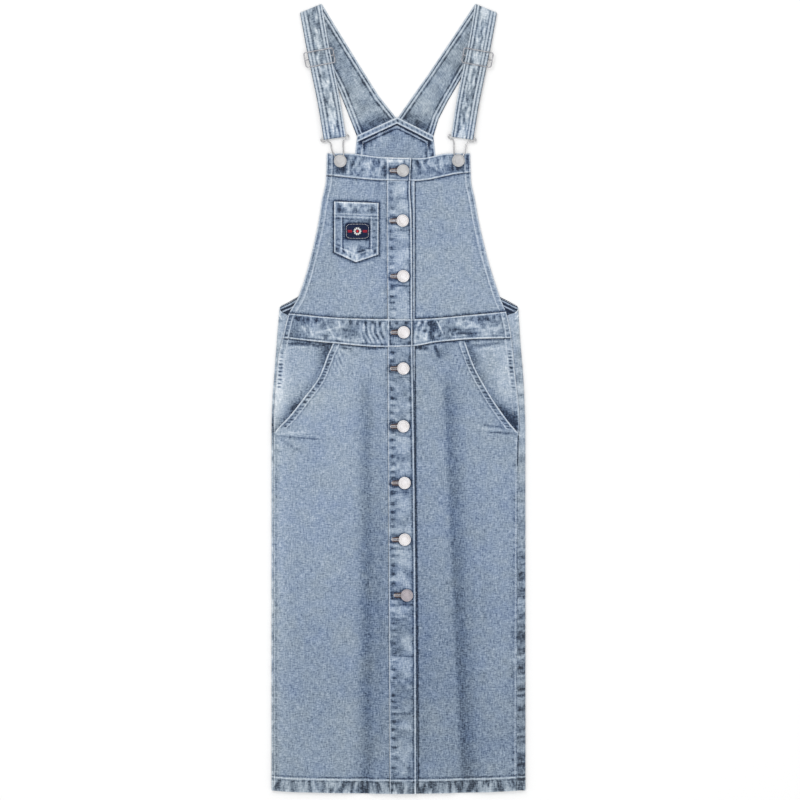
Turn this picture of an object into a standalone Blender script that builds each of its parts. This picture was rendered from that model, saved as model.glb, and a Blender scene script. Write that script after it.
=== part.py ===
"""A denim dungaree maxi dress, laid flat on its back.

Metres. +Y runs from the hem to the shoulders, +X to the viewer's right, +Z up from the surface.
The back panel lies on z = 0, its sides fold up and over to the front seams, and the front pieces
lie on it. Each strap leaves the back yoke, folds over at the shoulder and comes down the front.
"""

import math

import bmesh
import bpy
import numpy as np

# Cloth
CLOTH = 0.0010           # one layer of denim
BAND = 0.0016            # waistband, top bands and plackets, folded double
STRAP = 0.0014
GAP = 0.0003             # between pieces that are sewn together
HEM_CLOTH = 0.0016
HEM_DEPTH = 0.023
HEM_STEP = 0.0008        # half the run over which the hem's extra thickness starts
PLACKET_LIFT = BAND + GAP        # the top placket lies on the under one
POCKET_DROP = CLOTH + GAP        # the hip panel passes under the front panel's slant edge
UNDER_OVERLAP = 0.004            # the under placket starts this far inside the top one
CLIMB_BEFORE, CLIMB_AFTER = 0.004, 0.002         # a band climbs onto the placket round its stitch line
CLIMB_CLEAR = 0.02               # share of a band's width kept free of other columns there
SLANT_OVERLAP = 0.012            # how far the hip panel runs in under the slant edge
DIP_START, DIP_END = 0.006, 0.020                # where it comes up again, outside that edge

# Heights of the front layer's underside above the surface
FRONT_LEVEL = [  # y, height
    (-0.671, 0.0046), (0.000, 0.0046), (0.060, 0.0036), (0.090, 0.0029),
    (0.145, 0.0027), (0.175, 0.0017), (0.417, 0.0014),
]
FOLD_DEPTH = 0.0027
FOLD_START, FOLD_FULL = 0.085, 0.000     # the long folds fade in below the waistband
LONG_FOLDS = [  # x at the waist, x at the hem, reach to the left, reach to the right
    (-0.0586, -0.0586, 0.041, 0.020),
    (0.0830, 0.1040, 0.020, 0.056),
]

# Columns across and rows down in the walls' grids
SKIRT_COLUMNS, PLACKET_COLUMNS, BAND_COLUMNS, BAND_ROWS = 14, 2, 14, 3
BIB_COLUMNS, BIB_ROWS = 8, 10
HIP_COLUMNS, HIP_ROWS = 8, 12
POCKET_ROWS, PATCH_STEPS = 5, 8
SKIRT_ROWS = (0.21, 12, 6)       # share of the height with a curved seam, rows in it, rows below
BACK_ROWS = (0.27, 14, 5)
FLANGE_COLUMNS = 2               # from the front seam to the fold at the side
ROLL_STEPS = 6                   # round a fold
FITTING_PASSES = 12              # to settle a grid's points on both its sides and its ends

# Outlines: x at each height y
FRONT_EDGE_LEFT = [  # y, x: bib side, then the side seam
    (0.4168, -0.1215), (0.3717, -0.1232), (0.3377, -0.1300), (0.3037, -0.1352),
    (0.2357, -0.1504), (0.1740, -0.1697), (0.1405, -0.1878), (0.1065, -0.1963),
    (0.0717, -0.2041), (0.0317, -0.2077), (-0.0023, -0.2104), (-0.0584, -0.2118), (-0.6710, -0.2118),
]
FRONT_EDGE_RIGHT = [
    (0.4168, 0.1215), (0.3717, 0.1232), (0.3377, 0.1300), (0.3037, 0.1360),
    (0.2357, 0.1522), (0.1731, 0.1722), (0.1405, 0.1850), (0.1150, 0.1904),
    (0.0895, 0.1938), (0.0453, 0.1980), (-0.0023, 0.2032), (-0.0363, 0.2057),
    (-0.0703, 0.2040), (-0.1383, 0.2028), (-0.6710, 0.2009),
]
SIDE_FOLD_LEFT = [  # y, x of the garment's outermost edge
    (0.1575, -0.2014), (0.1337, -0.2038), (0.0895, -0.2074), (0.0317, -0.2117),
    (-0.0023, -0.2142), (-0.0533, -0.2156), (-0.6710, -0.2157),
]
SIDE_FOLD_RIGHT = [
    (0.1575, 0.2032), (0.1337, 0.2047), (0.0895, 0.2076), (0.0453, 0.2113),
    (-0.0023, 0.2140), (-0.0533, 0.2154), (-0.6710, 0.2157),
]
SLANT_LEFT = [  # y, x of the left pocket's slant edge
    (0.0950, -0.1108), (0.0759, -0.1195), (0.0368, -0.1352), (-0.0006, -0.1623),
    (-0.0312, -0.1865), (-0.0465, -0.2014), (-0.0584, -0.2117),
]
SLANT_RIGHT = [
    (0.0970, 0.1130), (0.0555, 0.1283), (0.0147, 0.1504), (-0.0023, 0.1607),
    (-0.0269, 0.1777), (-0.0439, 0.1906), (-0.0601, 0.2054),
]
PLACKET_STITCH = [(0.4168, -0.0196), (-0.1723, -0.0170), (-0.6710, -0.0148)]
PLACKET_FREE_EDGE = [
    (0.4168, 0.0219), (0.3547, 0.0190), (0.3122, 0.0212), (0.2085, 0.0238),
    (0.1133, 0.0221), (-0.0533, 0.0246), (-0.3423, 0.0246), (-0.6710, 0.0272),
]
UNDER_SEAM = [(0.4168, 0.0275), (0.1167, 0.0275), (-0.1723, 0.0289), (-0.4103, 0.0314), (-0.6710, 0.0331)]

# Outlines: y at each x
BIB_TOP = [(-0.1240, 0.4168), (-0.0910, 0.4168), (-0.0314, 0.4108), (0.0025, 0.4091),
           (0.0365, 0.4086), (0.0875, 0.4168), (0.1240, 0.4168)]
BAND_SEAM = [(-0.1240, 0.3800), (-0.0229, 0.3709), (0.0281, 0.3700), (0.1045, 0.3828), (0.1240, 0.3845)]
WAIST_TOP = [(-0.1900, 0.1455), (-0.0926, 0.1371), (-0.0178, 0.1354), (0.0257, 0.1354),
             (0.1283, 0.1429), (0.1900, 0.1487)]
WAIST_BOTTOM = [(-0.1990, 0.1033), (-0.1148, 0.0946), (-0.0229, 0.0878), (0.0196, 0.0887),
                (0.0682, 0.0965), (0.1283, 0.1014), (0.1960, 0.1031)]
HEM = [(-0.2160, -0.6653), (-0.1674, -0.6684), (0.0025, -0.6709), (0.1385, -0.6687), (0.2160, -0.6650)]

HIGHEST_WAIST, LOWEST_HEM = WAIST_BOTTOM[0][1], HEM[2][1]
INSIDE_WAISTBAND, INSIDE_BIB_BAND = 0.120, 0.400

# Back panel: where its top edge runs, from side fold to side fold over the peak
BACK_TOP = [  # x, y
    (-0.1862, 0.1643), (-0.1697, 0.1740), (-0.1470, 0.2017), (-0.1250, 0.2442), (-0.1028, 0.3003),
    (-0.0858, 0.3547), (-0.0745, 0.4108), (-0.0705, 0.4440), (-0.0365, 0.4601), (-0.0025, 0.4754),
    (0.0281, 0.4601), (0.0595, 0.4440), (0.0630, 0.4108), (0.0858, 0.3547), (0.1062, 0.3003),
    (0.1266, 0.2442), (0.1488, 0.2017), (0.1722, 0.1731), (0.1878, 0.1652),
]
SIDE_TOP_SEAM, SIDE_TOP_MIDDLE = 0.1415, 0.14675         # y of its top along the flange
SIDE_TOP_FOLD, SIDE_TOP_INSIDE = 0.1500, 0.1575          # and round the fold
YOKE_PEAK = [  # x, y of the seam under the yoke band
    (-0.0700, 0.4442), (-0.0360, 0.4600), (-0.0025, 0.4754), (0.0285, 0.4600), (0.0590, 0.4442),
]
YOKE_OFFSETS = (0.003, -0.002, -0.008)           # its rows, up and down from the seam

# Straps, on the left; the right one mirrors the front run
STRAP_FRONT = [  # distance down from the shoulder fold, outer edge x and y, inner edge x and y
    (0.000, -0.1674, 0.6556, -0.1305, 0.6709),
    (0.069, -0.1552, 0.5900, -0.1176, 0.5973),
    (0.107, -0.1476, 0.5530, -0.1098, 0.5603),
    (0.159, -0.1372, 0.5020, -0.0995, 0.5093),
    (0.222, -0.1268, 0.4395, -0.0894, 0.4450),
]
STRAP_BACK = {  # side: (arm edge x and y, neck edge x and y), from the yoke to the shoulder fold
    -1: [(-0.0703, 0.4450, -0.0031, 0.4760), (-0.0855, 0.4840, -0.0330, 0.5135),
         (-0.1010, 0.5230, -0.0560, 0.5500), (-0.1330, 0.5880, -0.0920, 0.6080),
         (-0.1674, 0.6556, -0.1305, 0.6709)],
    1: [(0.0590, 0.4450, -0.0019, 0.4760), (0.0680, 0.4750, 0.0250, 0.5150),
        (0.0840, 0.5060, 0.0520, 0.5530), (0.1180, 0.5640, 0.0860, 0.6040),
        (0.1674, 0.6556, 0.1305, 0.6709)],
}
TAIL_HEIGHT = [(0.000, 0.0019), (0.150, 0.0019), (0.219, 0.0006)]      # distance, height
STRAP_HEIGHT = [  # distance down from the fold, height of the strap's underside
    (0.0000, 0.0020), (0.0450, 0.0026), (0.0660, 0.0036), (0.0735, 0.0036), (0.0820, 0.0074),
    (0.0860, 0.0074), (0.0945, 0.0036), (0.1020, 0.0036), (0.1600, 0.0040), (0.2050, 0.0050),
    (0.2190, 0.0050),
]
MORE_STRAP_ROWS = {0.022, 0.125, 0.185}
TAIL_ROWS = (0.205, 0.185, 0.150, 0.120, 0.088)          # the last is its end, under the slider
BACK_RUN_ROWS = 8
STRAP_COLUMNS = 2

# Hardware
WIRE_RADIUS = 0.0012
BUCKLE_BAR_HALF, BUCKLE_BEND = 0.0236, 0.0040
BUCKLE_SHOULDER_DROP = 0.0062
BUCKLE_NECK_HALF, BUCKLE_NECK_INWARDS = 0.0102, 0.0030
BUCKLE_NECK_SHIFT, BUCKLE_NECK_RISE = 0.0008, 0.0040     # of the neck, from the shoulder and the bib top
KEYHOLE_RADIUS = 0.0072
KEYHOLE_TURNS = (35, -20, -60, -120, -160, 145)          # degrees round the bib button
BUCKLE_HEIGHT_AT_BIB = 0.0047
BUCKLE_CLIMB_START, BUCKLE_CLIMB_END = 0.006, 0.002      # below the bar, and past the bib top
SLIDER_HALF_LENGTH, SLIDER_SIDE = 0.0270, 0.0026
SLIDER_PITCH, SLIDER_BAR = 0.0125, 0.0020
SLIDER_DISTANCE = 0.084          # its centre bar, down from the shoulder fold
SLIDER_UNDERSIDE, SLIDER_THICK, SLIDER_EDGE = 0.0053, 0.0016, 0.0004
TURNED_STEPS, TURNED_MERGE = 18, 1e-6
BUTTON_PROFILE = [  # radius, height
    (0.0000, 0.0000), (0.0032, 0.0000), (0.0032, 0.0010), (0.0098, 0.0010),
    (0.0104, 0.0018), (0.0098, 0.0029), (0.0080, 0.0032), (0.0000, 0.0030),
]
BIB_BUTTON_PROFILE = [
    (0.0000, 0.0000), (0.0032, 0.0000), (0.0032, 0.0032), (0.0100, 0.0032),
    (0.0107, 0.0040), (0.0100, 0.0052), (0.0080, 0.0055), (0.0000, 0.0053),
]
BUTTONS = [  # x, y, from the bib top down
    (0.0078, 0.3870), (0.0071, 0.3020), (0.0082, 0.2078), (0.0090, 0.1125), (0.0083, 0.0511),
    (0.0083, -0.0470), (0.0104, -0.1431), (0.0107, -0.2391), (0.0144, -0.3336),
]
BIB_BUTTONS = {"left": (-0.0988, 0.4032), "right": (0.1017, 0.4040)}

# Chest pocket
POCKET_SIDES = (-0.1092, -0.0340)
POCKET_TOP = [(-0.1092, 0.3350), (-0.0340, 0.3323)]
POCKET_FOOT = [(-0.1092, 0.2485), (-0.0722, 0.2318), (-0.0340, 0.2447)]
POCKET_CLOTH = 0.0012
PATCH_CENTRE, PATCH_SIZE, PATCH_CORNER = (-0.0697, 0.2842), (0.0425, 0.0289), 0.0060

COLOURS = {  # base colour, roughness, metallic
    "denim": ((0.27, 0.34, 0.43), 0.9, 0.0),
    "denim_light": ((0.34, 0.41, 0.50), 0.9, 0.0),
    "metal": ((0.80, 0.79, 0.76), 0.3, 1.0),
    "patch": ((0.02, 0.03, 0.09), 0.8, 0.0),
}


def curve(rows, at):
    """Smooth curve through the rows of (place, value), without overshoot."""
    place, value = np.array(sorted(map(tuple, rows))).T
    step = np.diff(place)
    slope = np.diff(value) / step
    tangent = np.concatenate([slope[:1], np.zeros(len(slope) - 1), slope[-1:]])
    turns = slope[:-1] * slope[1:] <= 0
    mean = 2 * slope[:-1] * slope[1:] / np.where(turns, 1, slope[:-1] + slope[1:])
    tangent[1:-1] = np.where(turns, 0, mean)
    at = np.clip(at, place[0], place[-1])
    i = np.clip(np.searchsorted(place, at, side="right") - 1, 0, len(step) - 1)
    t = (at - place[i]) / step[i]
    rise = (3 - 2 * t) * t * t
    return (value[i] * (1 - rise) + value[i + 1] * rise
            + step[i] * t * (1 - t) * (tangent[i] * (1 - t) - tangent[i + 1] * t))


def straight(rows, at):
    place, value = np.array(sorted(map(tuple, rows))).T
    return np.interp(at, place, value)


def smooth_step(value, start, end):
    t = np.clip((value - start) / (end - start), 0, 1)
    return t * t * (3 - 2 * t)


def front_height(x, y):
    """Height of the front layer's underside: its level, less the long soft folds."""
    height = curve(FRONT_LEVEL, y)
    for waist_x, hem_x, reach_left, reach_right in LONG_FOLDS:
        down = np.clip((HIGHEST_WAIST - y) / (HIGHEST_WAIST - LOWEST_HEM), 0, 1)
        away = x - (waist_x + (hem_x - waist_x) * down)
        share = np.clip(np.abs(away) / np.where(away < 0, reach_left, reach_right), 0, 1)
        fades_in = smooth_step(-y, -FOLD_START, -FOLD_FULL)
        height = height - FOLD_DEPTH * fades_in * (1 + np.cos(math.pi * share)) / 2
    return height


def hem_y(x):
    return curve(HEM, x)


def evenly(count):
    return np.linspace(0, 1, count + 1)


def rows_down(bend_share, bend_rows, low_rows):
    """Row places from top to hem: close together down to bend_share, then far apart."""
    return np.concatenate([evenly(bend_rows) * bend_share,
                           bend_share + evenly(low_rows)[1:] * (1 - bend_share)])


def hem_rows(top, bottom, down):
    """Heights of the rows of a hemmed piece: two more rows start and end its hem."""
    above = bottom + HEM_DEPTH + HEM_STEP
    return [top + (above - top) * share for share in down] + [bottom + HEM_DEPTH - HEM_STEP, bottom]


def panel(left, right, top, bottom, across, down, hem=False):
    """Grid of (x, y) between two side curves of y and a top and a bottom curve of x."""
    middle = (left(0.0) + right(0.0)) / 2
    count = len(down) + (2 if hem else 0)
    grid = np.zeros((count, len(across), 2))
    for row in range(count):
        x = np.full(len(across), middle)
        for _ in range(FITTING_PASSES):      # a point's x and y depend on each other
            if hem:
                y = hem_rows(top(x), bottom(x), down)[row]
            else:
                y = top(x) + (bottom(x) - top(x)) * down[row]
            x = left(y) + (right(y) - left(y)) * across
        grid[row, :, 0], grid[row, :, 1] = x, y
    return grid


def material(name):
    colour, roughness, metallic = COLOURS[name]
    made = bpy.data.materials.new(name)
    made.use_nodes = True
    shader = made.node_tree.nodes["Principled BSDF"]
    shader.inputs["Base Color"].default_value = (*colour, 1)
    shader.inputs["Roughness"].default_value = roughness
    shader.inputs["Metallic"].default_value = metallic
    return made


def add_object(name, data, finish):
    made = bpy.data.objects.new(name, data)
    made.data.materials.append(material(finish))
    made.data.materials[0].name = name + "_" + finish
    bpy.context.scene.collection.objects.link(made)
    return made


def cloth(name, outer, thickness, inwards=-1, shares=None, finish="denim"):
    """A wall from its outer surface's grid of points. Its rows and columns turn so that the
    normals point out, or inwards=1 where the grid is the wall's underside."""
    rows, columns = outer.shape[:2]
    shape = bmesh.new()
    points = [[shape.verts.new(outer[r, c]) for c in range(columns)] for r in range(rows)]
    for r in range(rows - 1):
        for c in range(columns - 1):
            shape.faces.new((points[r][c], points[r + 1][c], points[r + 1][c + 1], points[r][c + 1]))
    mesh = bpy.data.meshes.new(name)
    shape.to_mesh(mesh)
    shape.free()
    made = add_object(name, mesh, finish)
    wall = made.modifiers.new("wall", "SOLIDIFY")
    wall.thickness = thickness
    wall.offset = inwards
    wall.use_even_offset = True
    if shares is not None:
        group = made.vertex_groups.new(name="thickness")
        for index, share in enumerate(shares.reshape(-1)):
            group.add([index], float(share), "REPLACE")
        wall.vertex_group = group.name
    mesh.shade_smooth()
    mesh.set_sharp_from_angle(angle=math.radians(40))
    return made


def front_piece(name, grid, thickness, lift=0.0, hem=False, finish="denim"):
    """A front wall over the height of the front layer, thicker at the hem."""
    x, y = grid[..., 0], grid[..., 1]
    z = front_height(x, y) + lift
    under = np.dstack([x, y, z])
    if not hem:
        return cloth(name, under, thickness, inwards=1, finish=finish)
    shares = np.full(x.shape, thickness / (thickness + HEM_CLOTH - CLOTH))
    shares[-2:] = 1
    return cloth(name, under, thickness + HEM_CLOTH - CLOTH, inwards=1, shares=shares, finish=finish)


def along_y(rows, shift=0.0):
    return lambda y: curve(rows, y) + shift


def along_x(rows, shift=0.0):
    return lambda x: curve(rows, x) + shift


def skirt_fronts():
    down = rows_down(*SKIRT_ROWS)
    across, placket_across = evenly(SKIRT_COLUMNS), evenly(PLACKET_COLUMNS)
    outer_left = lambda y: np.maximum(curve(SLANT_LEFT, y), curve(FRONT_EDGE_LEFT, y))
    outer_right = lambda y: np.minimum(curve(SLANT_RIGHT, y), curve(FRONT_EDGE_RIGHT, y))
    below_waist = along_x(WAIST_BOTTOM, -GAP)
    left = panel(outer_left, along_y(PLACKET_STITCH, -GAP), below_waist, hem_y, across, down, hem=True)
    right = panel(along_y(UNDER_SEAM, GAP), outer_right, below_waist, hem_y, across, down, hem=True)
    front_piece("skirt_front_left", left, CLOTH, hem=True)
    front_piece("skirt_front_right", right, CLOTH, hem=True)

    top = panel(along_y(PLACKET_STITCH), along_y(PLACKET_FREE_EDGE), below_waist, hem_y,
                placket_across, down, hem=True)
    under = panel(along_y(PLACKET_STITCH, UNDER_OVERLAP), along_y(UNDER_SEAM), below_waist, hem_y,
                  placket_across, down)
    front_piece("skirt_placket_top", top, BAND, lift=PLACKET_LIFT, hem=True)
    front_piece("skirt_placket_under", under, BAND, finish="denim_light")


def hip_panel(name, side, seam, slant):
    """The piece seen through the slant pocket: it dips under the front panel's edge."""
    lowest = slant[-1][0]
    outer = lambda y: curve(seam, y)
    inner = lambda y: curve(slant, y) - side * SLANT_OVERLAP
    limits = (outer, inner) if side < 0 else (inner, outer)
    grid = panel(*limits, along_x(WAIST_BOTTOM, -GAP), lambda x: np.full_like(x, lowest),
                 evenly(HIP_COLUMNS), evenly(HIP_ROWS))
    x, y = grid[..., 0], grid[..., 1]
    outside = side * (x - curve(slant, y))
    drop = 1 - smooth_step(outside, DIP_START, DIP_END)
    front_piece(name, grid, CLOTH, lift=-POCKET_DROP * drop, finish="denim_light")


def placket_columns(edge, free_edge):
    """Shares across a piece that climbs onto the placket: even, with the climb between two columns."""
    width = free_edge - edge
    stitch = PLACKET_STITCH[1][1]
    start, end = (stitch - CLIMB_BEFORE - edge) / width, (stitch + CLIMB_AFTER - edge) / width
    even = [share for share in evenly(BAND_COLUMNS)
            if not start - CLIMB_CLEAR < share < end + CLIMB_CLEAR]
    return np.array(sorted(even + [start, end]))


def climb(x):
    stitch = PLACKET_STITCH[1][1]
    return PLACKET_LIFT * smooth_step(x, stitch - CLIMB_BEFORE, stitch + CLIMB_AFTER)


def banded_pieces():
    """Waistband and bib top band: the left ones lie over the placket, the right ones under it."""
    spans = [  # name, top, bottom, a height inside it
        ("waistband", along_x(WAIST_TOP, -GAP), along_x(WAIST_BOTTOM), INSIDE_WAISTBAND),
        ("bib_band", along_x(BIB_TOP), along_x(BAND_SEAM), INSIDE_BIB_BAND),
    ]
    for name, top, bottom, height in spans:
        across = placket_columns(curve(FRONT_EDGE_LEFT, height), curve(PLACKET_FREE_EDGE, height))
        down = evenly(BAND_ROWS)
        left = panel(along_y(FRONT_EDGE_LEFT), along_y(PLACKET_FREE_EDGE), top, bottom, across, down)
        front_piece(name + "_left", left, BAND, lift=climb(left[..., 0]), finish="denim_light")
        right = panel(along_y(PLACKET_STITCH, UNDER_OVERLAP), along_y(FRONT_EDGE_RIGHT), top, bottom,
                      evenly(BAND_COLUMNS), down)
        front_piece(name + "_right", right, BAND, finish="denim_light")


def bib_fronts():
    top, bottom = along_x(BAND_SEAM, -GAP), along_x(WAIST_TOP)
    across, placket_across, down = evenly(BIB_COLUMNS), evenly(PLACKET_COLUMNS), evenly(BIB_ROWS)
    left = panel(along_y(FRONT_EDGE_LEFT), along_y(PLACKET_STITCH, -GAP), top, bottom, across, down)
    right = panel(along_y(UNDER_SEAM, GAP), along_y(FRONT_EDGE_RIGHT), top, bottom, across, down)
    front_piece("bib_front_left", left, CLOTH)
    front_piece("bib_front_right", right, CLOTH)
    over = panel(along_y(PLACKET_STITCH), along_y(PLACKET_FREE_EDGE), top, bottom, placket_across, down)
    under = panel(along_y(PLACKET_STITCH, UNDER_OVERLAP), along_y(UNDER_SEAM), top, bottom,
                  placket_across, down)
    front_piece("bib_placket_top", over, BAND, lift=PLACKET_LIFT)
    front_piece("bib_placket_under", under, BAND, finish="denim_light")


def chest_pocket():
    left, right = POCKET_SIDES
    sides = [lambda y, x=x: np.full_like(np.asarray(y, float), x) for x in POCKET_SIDES]
    tip = (POCKET_FOOT[1][0] - left) / (right - left)
    across = np.array([0, tip / 2, tip, (1 + tip) / 2, 1])
    grid = panel(*sides, lambda x: straight(POCKET_TOP, x), lambda x: straight(POCKET_FOOT, x),
                 across, evenly(POCKET_ROWS))
    front_piece("chest_pocket", grid, POCKET_CLOTH, lift=CLOTH + GAP, finish="denim_light")


def pocket_patch():
    """A small rounded patch of plain cloth on the chest pocket."""
    half = np.array(PATCH_SIZE) / 2
    shares = evenly(PATCH_STEPS) * 2 - 1
    grid = np.zeros((len(shares), len(shares), 2))
    for row, v in enumerate(-shares):
        reach = half[0] - PATCH_CORNER + math.sqrt(max(0, 1 - max(
            0, (abs(v) * half[1] - half[1] + PATCH_CORNER) / PATCH_CORNER) ** 2)) * PATCH_CORNER
        grid[row, :, 0] = PATCH_CENTRE[0] + shares * reach
        grid[row, :, 1] = PATCH_CENTRE[1] + v * half[1]
    front_piece("pocket_patch", grid, CLOTH, lift=CLOTH + POCKET_CLOTH + 2 * GAP, finish="patch")


def side_section(side, fold_x, seam_x, height):
    """Outer points of the back panel at one side: front seam, flange, round fold, surface."""
    radius = height / 2
    round_x = fold_x - side * radius
    flange = [(seam_x + (round_x - seam_x) * share, height) for share in evenly(FLANGE_COLUMNS)[:-1]]
    arc = [(round_x + side * radius * math.sin(angle), radius + radius * math.cos(angle))
           for angle in np.linspace(0, math.pi, ROLL_STEPS + 1)]
    return flange + arc


def back_panel():
    """The whole back in one wall: skirt back and racer back, its sides folded onto the front."""
    down = rows_down(*BACK_ROWS)
    side_count = FLANGE_COLUMNS + ROLL_STEPS + 1
    side_top = np.concatenate([np.linspace(SIDE_TOP_SEAM, SIDE_TOP_MIDDLE, FLANGE_COLUMNS),
                               np.linspace(SIDE_TOP_FOLD, SIDE_TOP_INSIDE, ROLL_STEPS + 1)])
    top_x, top_y = np.array(BACK_TOP).T
    left_top = curve(SIDE_FOLD_LEFT, SIDE_TOP_INSIDE)
    right_top = curve(SIDE_FOLD_RIGHT, SIDE_TOP_INSIDE)
    share = (top_x - left_top) / (right_top - left_top)
    tops = np.concatenate([side_top, top_y, side_top[::-1]])
    grid = np.zeros((len(down) + 2, len(tops), 3))
    thickness = np.full(grid.shape[:2], CLOTH / HEM_CLOTH)
    thickness[-2:] = 1
    for column, top in enumerate(tops):
        first, last = column < side_count, column >= len(tops) - side_count
        x = HEM[0][0] if first else HEM[-1][0] if last else top_x[column - side_count]
        for row, y in enumerate(hem_rows(top, hem_y(x), down)):
            in_hem = row >= len(down)
            if first or last:
                side, fold, seam, place = ((-1, SIDE_FOLD_LEFT, FRONT_EDGE_LEFT, column) if first else
                                           (1, SIDE_FOLD_RIGHT, FRONT_EDGE_RIGHT, len(tops) - 1 - column))
                seam_x = curve(seam, y)
                height = front_height(seam_x, y) + (HEM_CLOTH if in_hem else CLOTH)
                section = side_section(side, curve(fold, y), seam_x + side * GAP, height)
                grid[row, column] = (section[place][0], y, section[place][1])
            else:
                left_x, right_x = curve(SIDE_FOLD_LEFT, y), curve(SIDE_FOLD_RIGHT, y)
                grid[row, column] = (left_x + (right_x - left_x) * share[column - side_count], y, 0)
    cloth("back_panel", grid[:, ::-1], HEM_CLOTH, shares=thickness[:, ::-1])


def back_yoke_band():
    """The strip sewn over the seam between the back's peak and the straps."""
    grid = np.array([[(x, y + offset, STRAP + GAP) for x, y in YOKE_PEAK] for offset in YOKE_OFFSETS])
    cloth("back_yoke_band", grid, CLOTH, inwards=1, finish="denim_light")


def mirrored(points, side):
    """Points of the left side, turned over for the right."""
    return np.array(points, float) * ((1, 1, 1) if side < 0 else (-1, 1, 1))


def strap_edges(distance):
    """Outer and inner edge of a left strap's front run, at a distance down from the fold."""
    table = np.array(STRAP_FRONT)
    read = [curve(np.column_stack([table[:, 0], table[:, column]]), distance) for column in (1, 2, 3, 4)]
    return np.array(read[:2]), np.array(read[2:])


def strap_line(height, distance):
    """A row of points across a left strap's front run."""
    outer, inner = strap_edges(distance)
    shares = evenly(STRAP_COLUMNS)[:, None]
    return np.column_stack([outer + (inner - outer) * shares, np.full(len(shares), height)])


def rolled(line, direction, radius, start, end, centre_height):
    """The line of points turned round an axis that lies one radius back from it."""
    rows = []
    for angle in np.linspace(start, end, ROLL_STEPS + 1):
        moved = line.copy()
        moved[:, :2] += direction * radius * (math.cos(angle) - 1)
        moved[:, 2] = centre_height + radius * math.sin(angle)
        rows.append(moved)
    return rows


def direction_of(line):
    along = line[-1, :2] - line[0, :2]
    return along / np.linalg.norm(along)


def square_to(line, forwards):
    along = direction_of(line)
    return forwards * np.array([-along[1], along[0]])


def strap_end_roll():
    """Radius and height of the axis that the strap's end turns round, where the buckle's bar lies."""
    radius = (STRAP_HEIGHT[-1][1] + STRAP - TAIL_HEIGHT[-1][1]) / 2
    return radius, TAIL_HEIGHT[-1][1] + radius


def strap(name, side):
    """One ribbon: the back run on the surface, the shoulder fold, the front run through the slider,
    round the buckle's bar, and the tail up behind to the slider."""
    rows = []
    back = np.array(STRAP_BACK[side])
    shares = evenly(STRAP_COLUMNS)[:, None]
    for place in evenly(BACK_RUN_ROWS)[:-1] * (len(back) - 1):
        arm, neck = [np.array([np.interp(place, range(len(back)), back[:, c]) for c in pair])
                     for pair in ((0, 1), (2, 3))]
        rows.append(np.column_stack([arm + (neck - arm) * shares, np.zeros(len(shares))]))
    radius = (STRAP_HEIGHT[0][1] + STRAP) / 2
    fold_line = strap_line(0.0, 0.0)
    rows += [mirrored(row, side) for row in
             rolled(fold_line, square_to(fold_line, 1), radius, -math.pi / 2, math.pi / 2, radius)]
    for distance in sorted({place for place, _ in STRAP_HEIGHT[1:-1]} | MORE_STRAP_ROWS):
        height = straight(STRAP_HEIGHT, distance) + STRAP
        rows.append(mirrored(strap_line(height, distance), side))
    end_line = strap_line(0.0, STRAP_FRONT[-1][0])
    bar_radius, bar_height = strap_end_roll()
    rows += [mirrored(row, side) for row in
             rolled(end_line, square_to(end_line, -1), bar_radius, math.pi / 2, -math.pi / 2, bar_height)]
    for distance in TAIL_ROWS:
        rows.append(mirrored(strap_line(straight(TAIL_HEIGHT, distance), distance), side))
    ribbon = np.array(rows)
    cloth(name, ribbon if side < 0 else ribbon[:, ::-1], STRAP, finish="denim_light")


def rounded(points, times=2):
    """Corners of a closed outline cut twice, so that it bends as wire does."""
    for _ in range(times):
        following = np.roll(points, -1, axis=0)
        points = np.stack([0.75 * points + 0.25 * following, 0.25 * points + 0.75 * following], 1)
        points = points.reshape(-1, points.shape[-1])
    return points


def buckle(name, side, button):
    """Wire dungaree buckle: a bar in the strap's end, and a keyhole round the bib button's shank."""
    end_line = strap_line(0.0, STRAP_FRONT[-1][0])
    along, forwards = direction_of(end_line), square_to(end_line, -1)
    bar_radius, bar_height = strap_end_roll()
    bar = end_line[:, :2].mean(axis=0) - forwards * bar_radius
    centre = np.array([button[0] * (1 if side < 0 else -1), button[1]])
    shoulder = bar + along * BUCKLE_NECK_INWARDS + forwards * BUCKLE_SHOULDER_DROP
    neck = np.array([shoulder[0] + BUCKLE_NECK_SHIFT, BIB_TOP[0][1] + BUCKLE_NECK_RISE])
    drop = forwards * BUCKLE_SHOULDER_DROP
    straight_half = BUCKLE_BAR_HALF - BUCKLE_BEND
    outline = [bar - along * BUCKLE_BAR_HALF, bar - along * straight_half,
               bar + along * straight_half, bar + along * BUCKLE_BAR_HALF,
               bar + along * BUCKLE_BAR_HALF + drop, shoulder + along * BUCKLE_NECK_HALF,
               neck + (BUCKLE_NECK_HALF, 0)]
    outline += [centre + KEYHOLE_RADIUS * np.array([math.cos(turn), math.sin(turn)])
                for turn in np.radians(KEYHOLE_TURNS)]
    outline += [neck - (BUCKLE_NECK_HALF, 0), shoulder - along * BUCKLE_NECK_HALF,
                bar - along * BUCKLE_BAR_HALF + drop]
    path = rounded(np.array(outline))
    lifts = smooth_step(-path[:, 1], -bar[1] + BUCKLE_CLIMB_START, -BIB_TOP[0][1] - BUCKLE_CLIMB_END)
    heights = bar_height + (BUCKLE_HEIGHT_AT_BIB - bar_height) * lifts
    path = mirrored(np.column_stack([path, heights]), side)
    data = bpy.data.curves.new(name, "CURVE")
    data.dimensions = "3D"
    data.bevel_depth = WIRE_RADIUS
    data.bevel_resolution = 2
    wire = data.splines.new("POLY")
    wire.points.add(len(path) - 1)
    for point, place in zip(wire.points, path):
        point.co = (*place, 1)
    wire.use_cyclic_u = True
    add_object(name, data, "metal")


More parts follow.
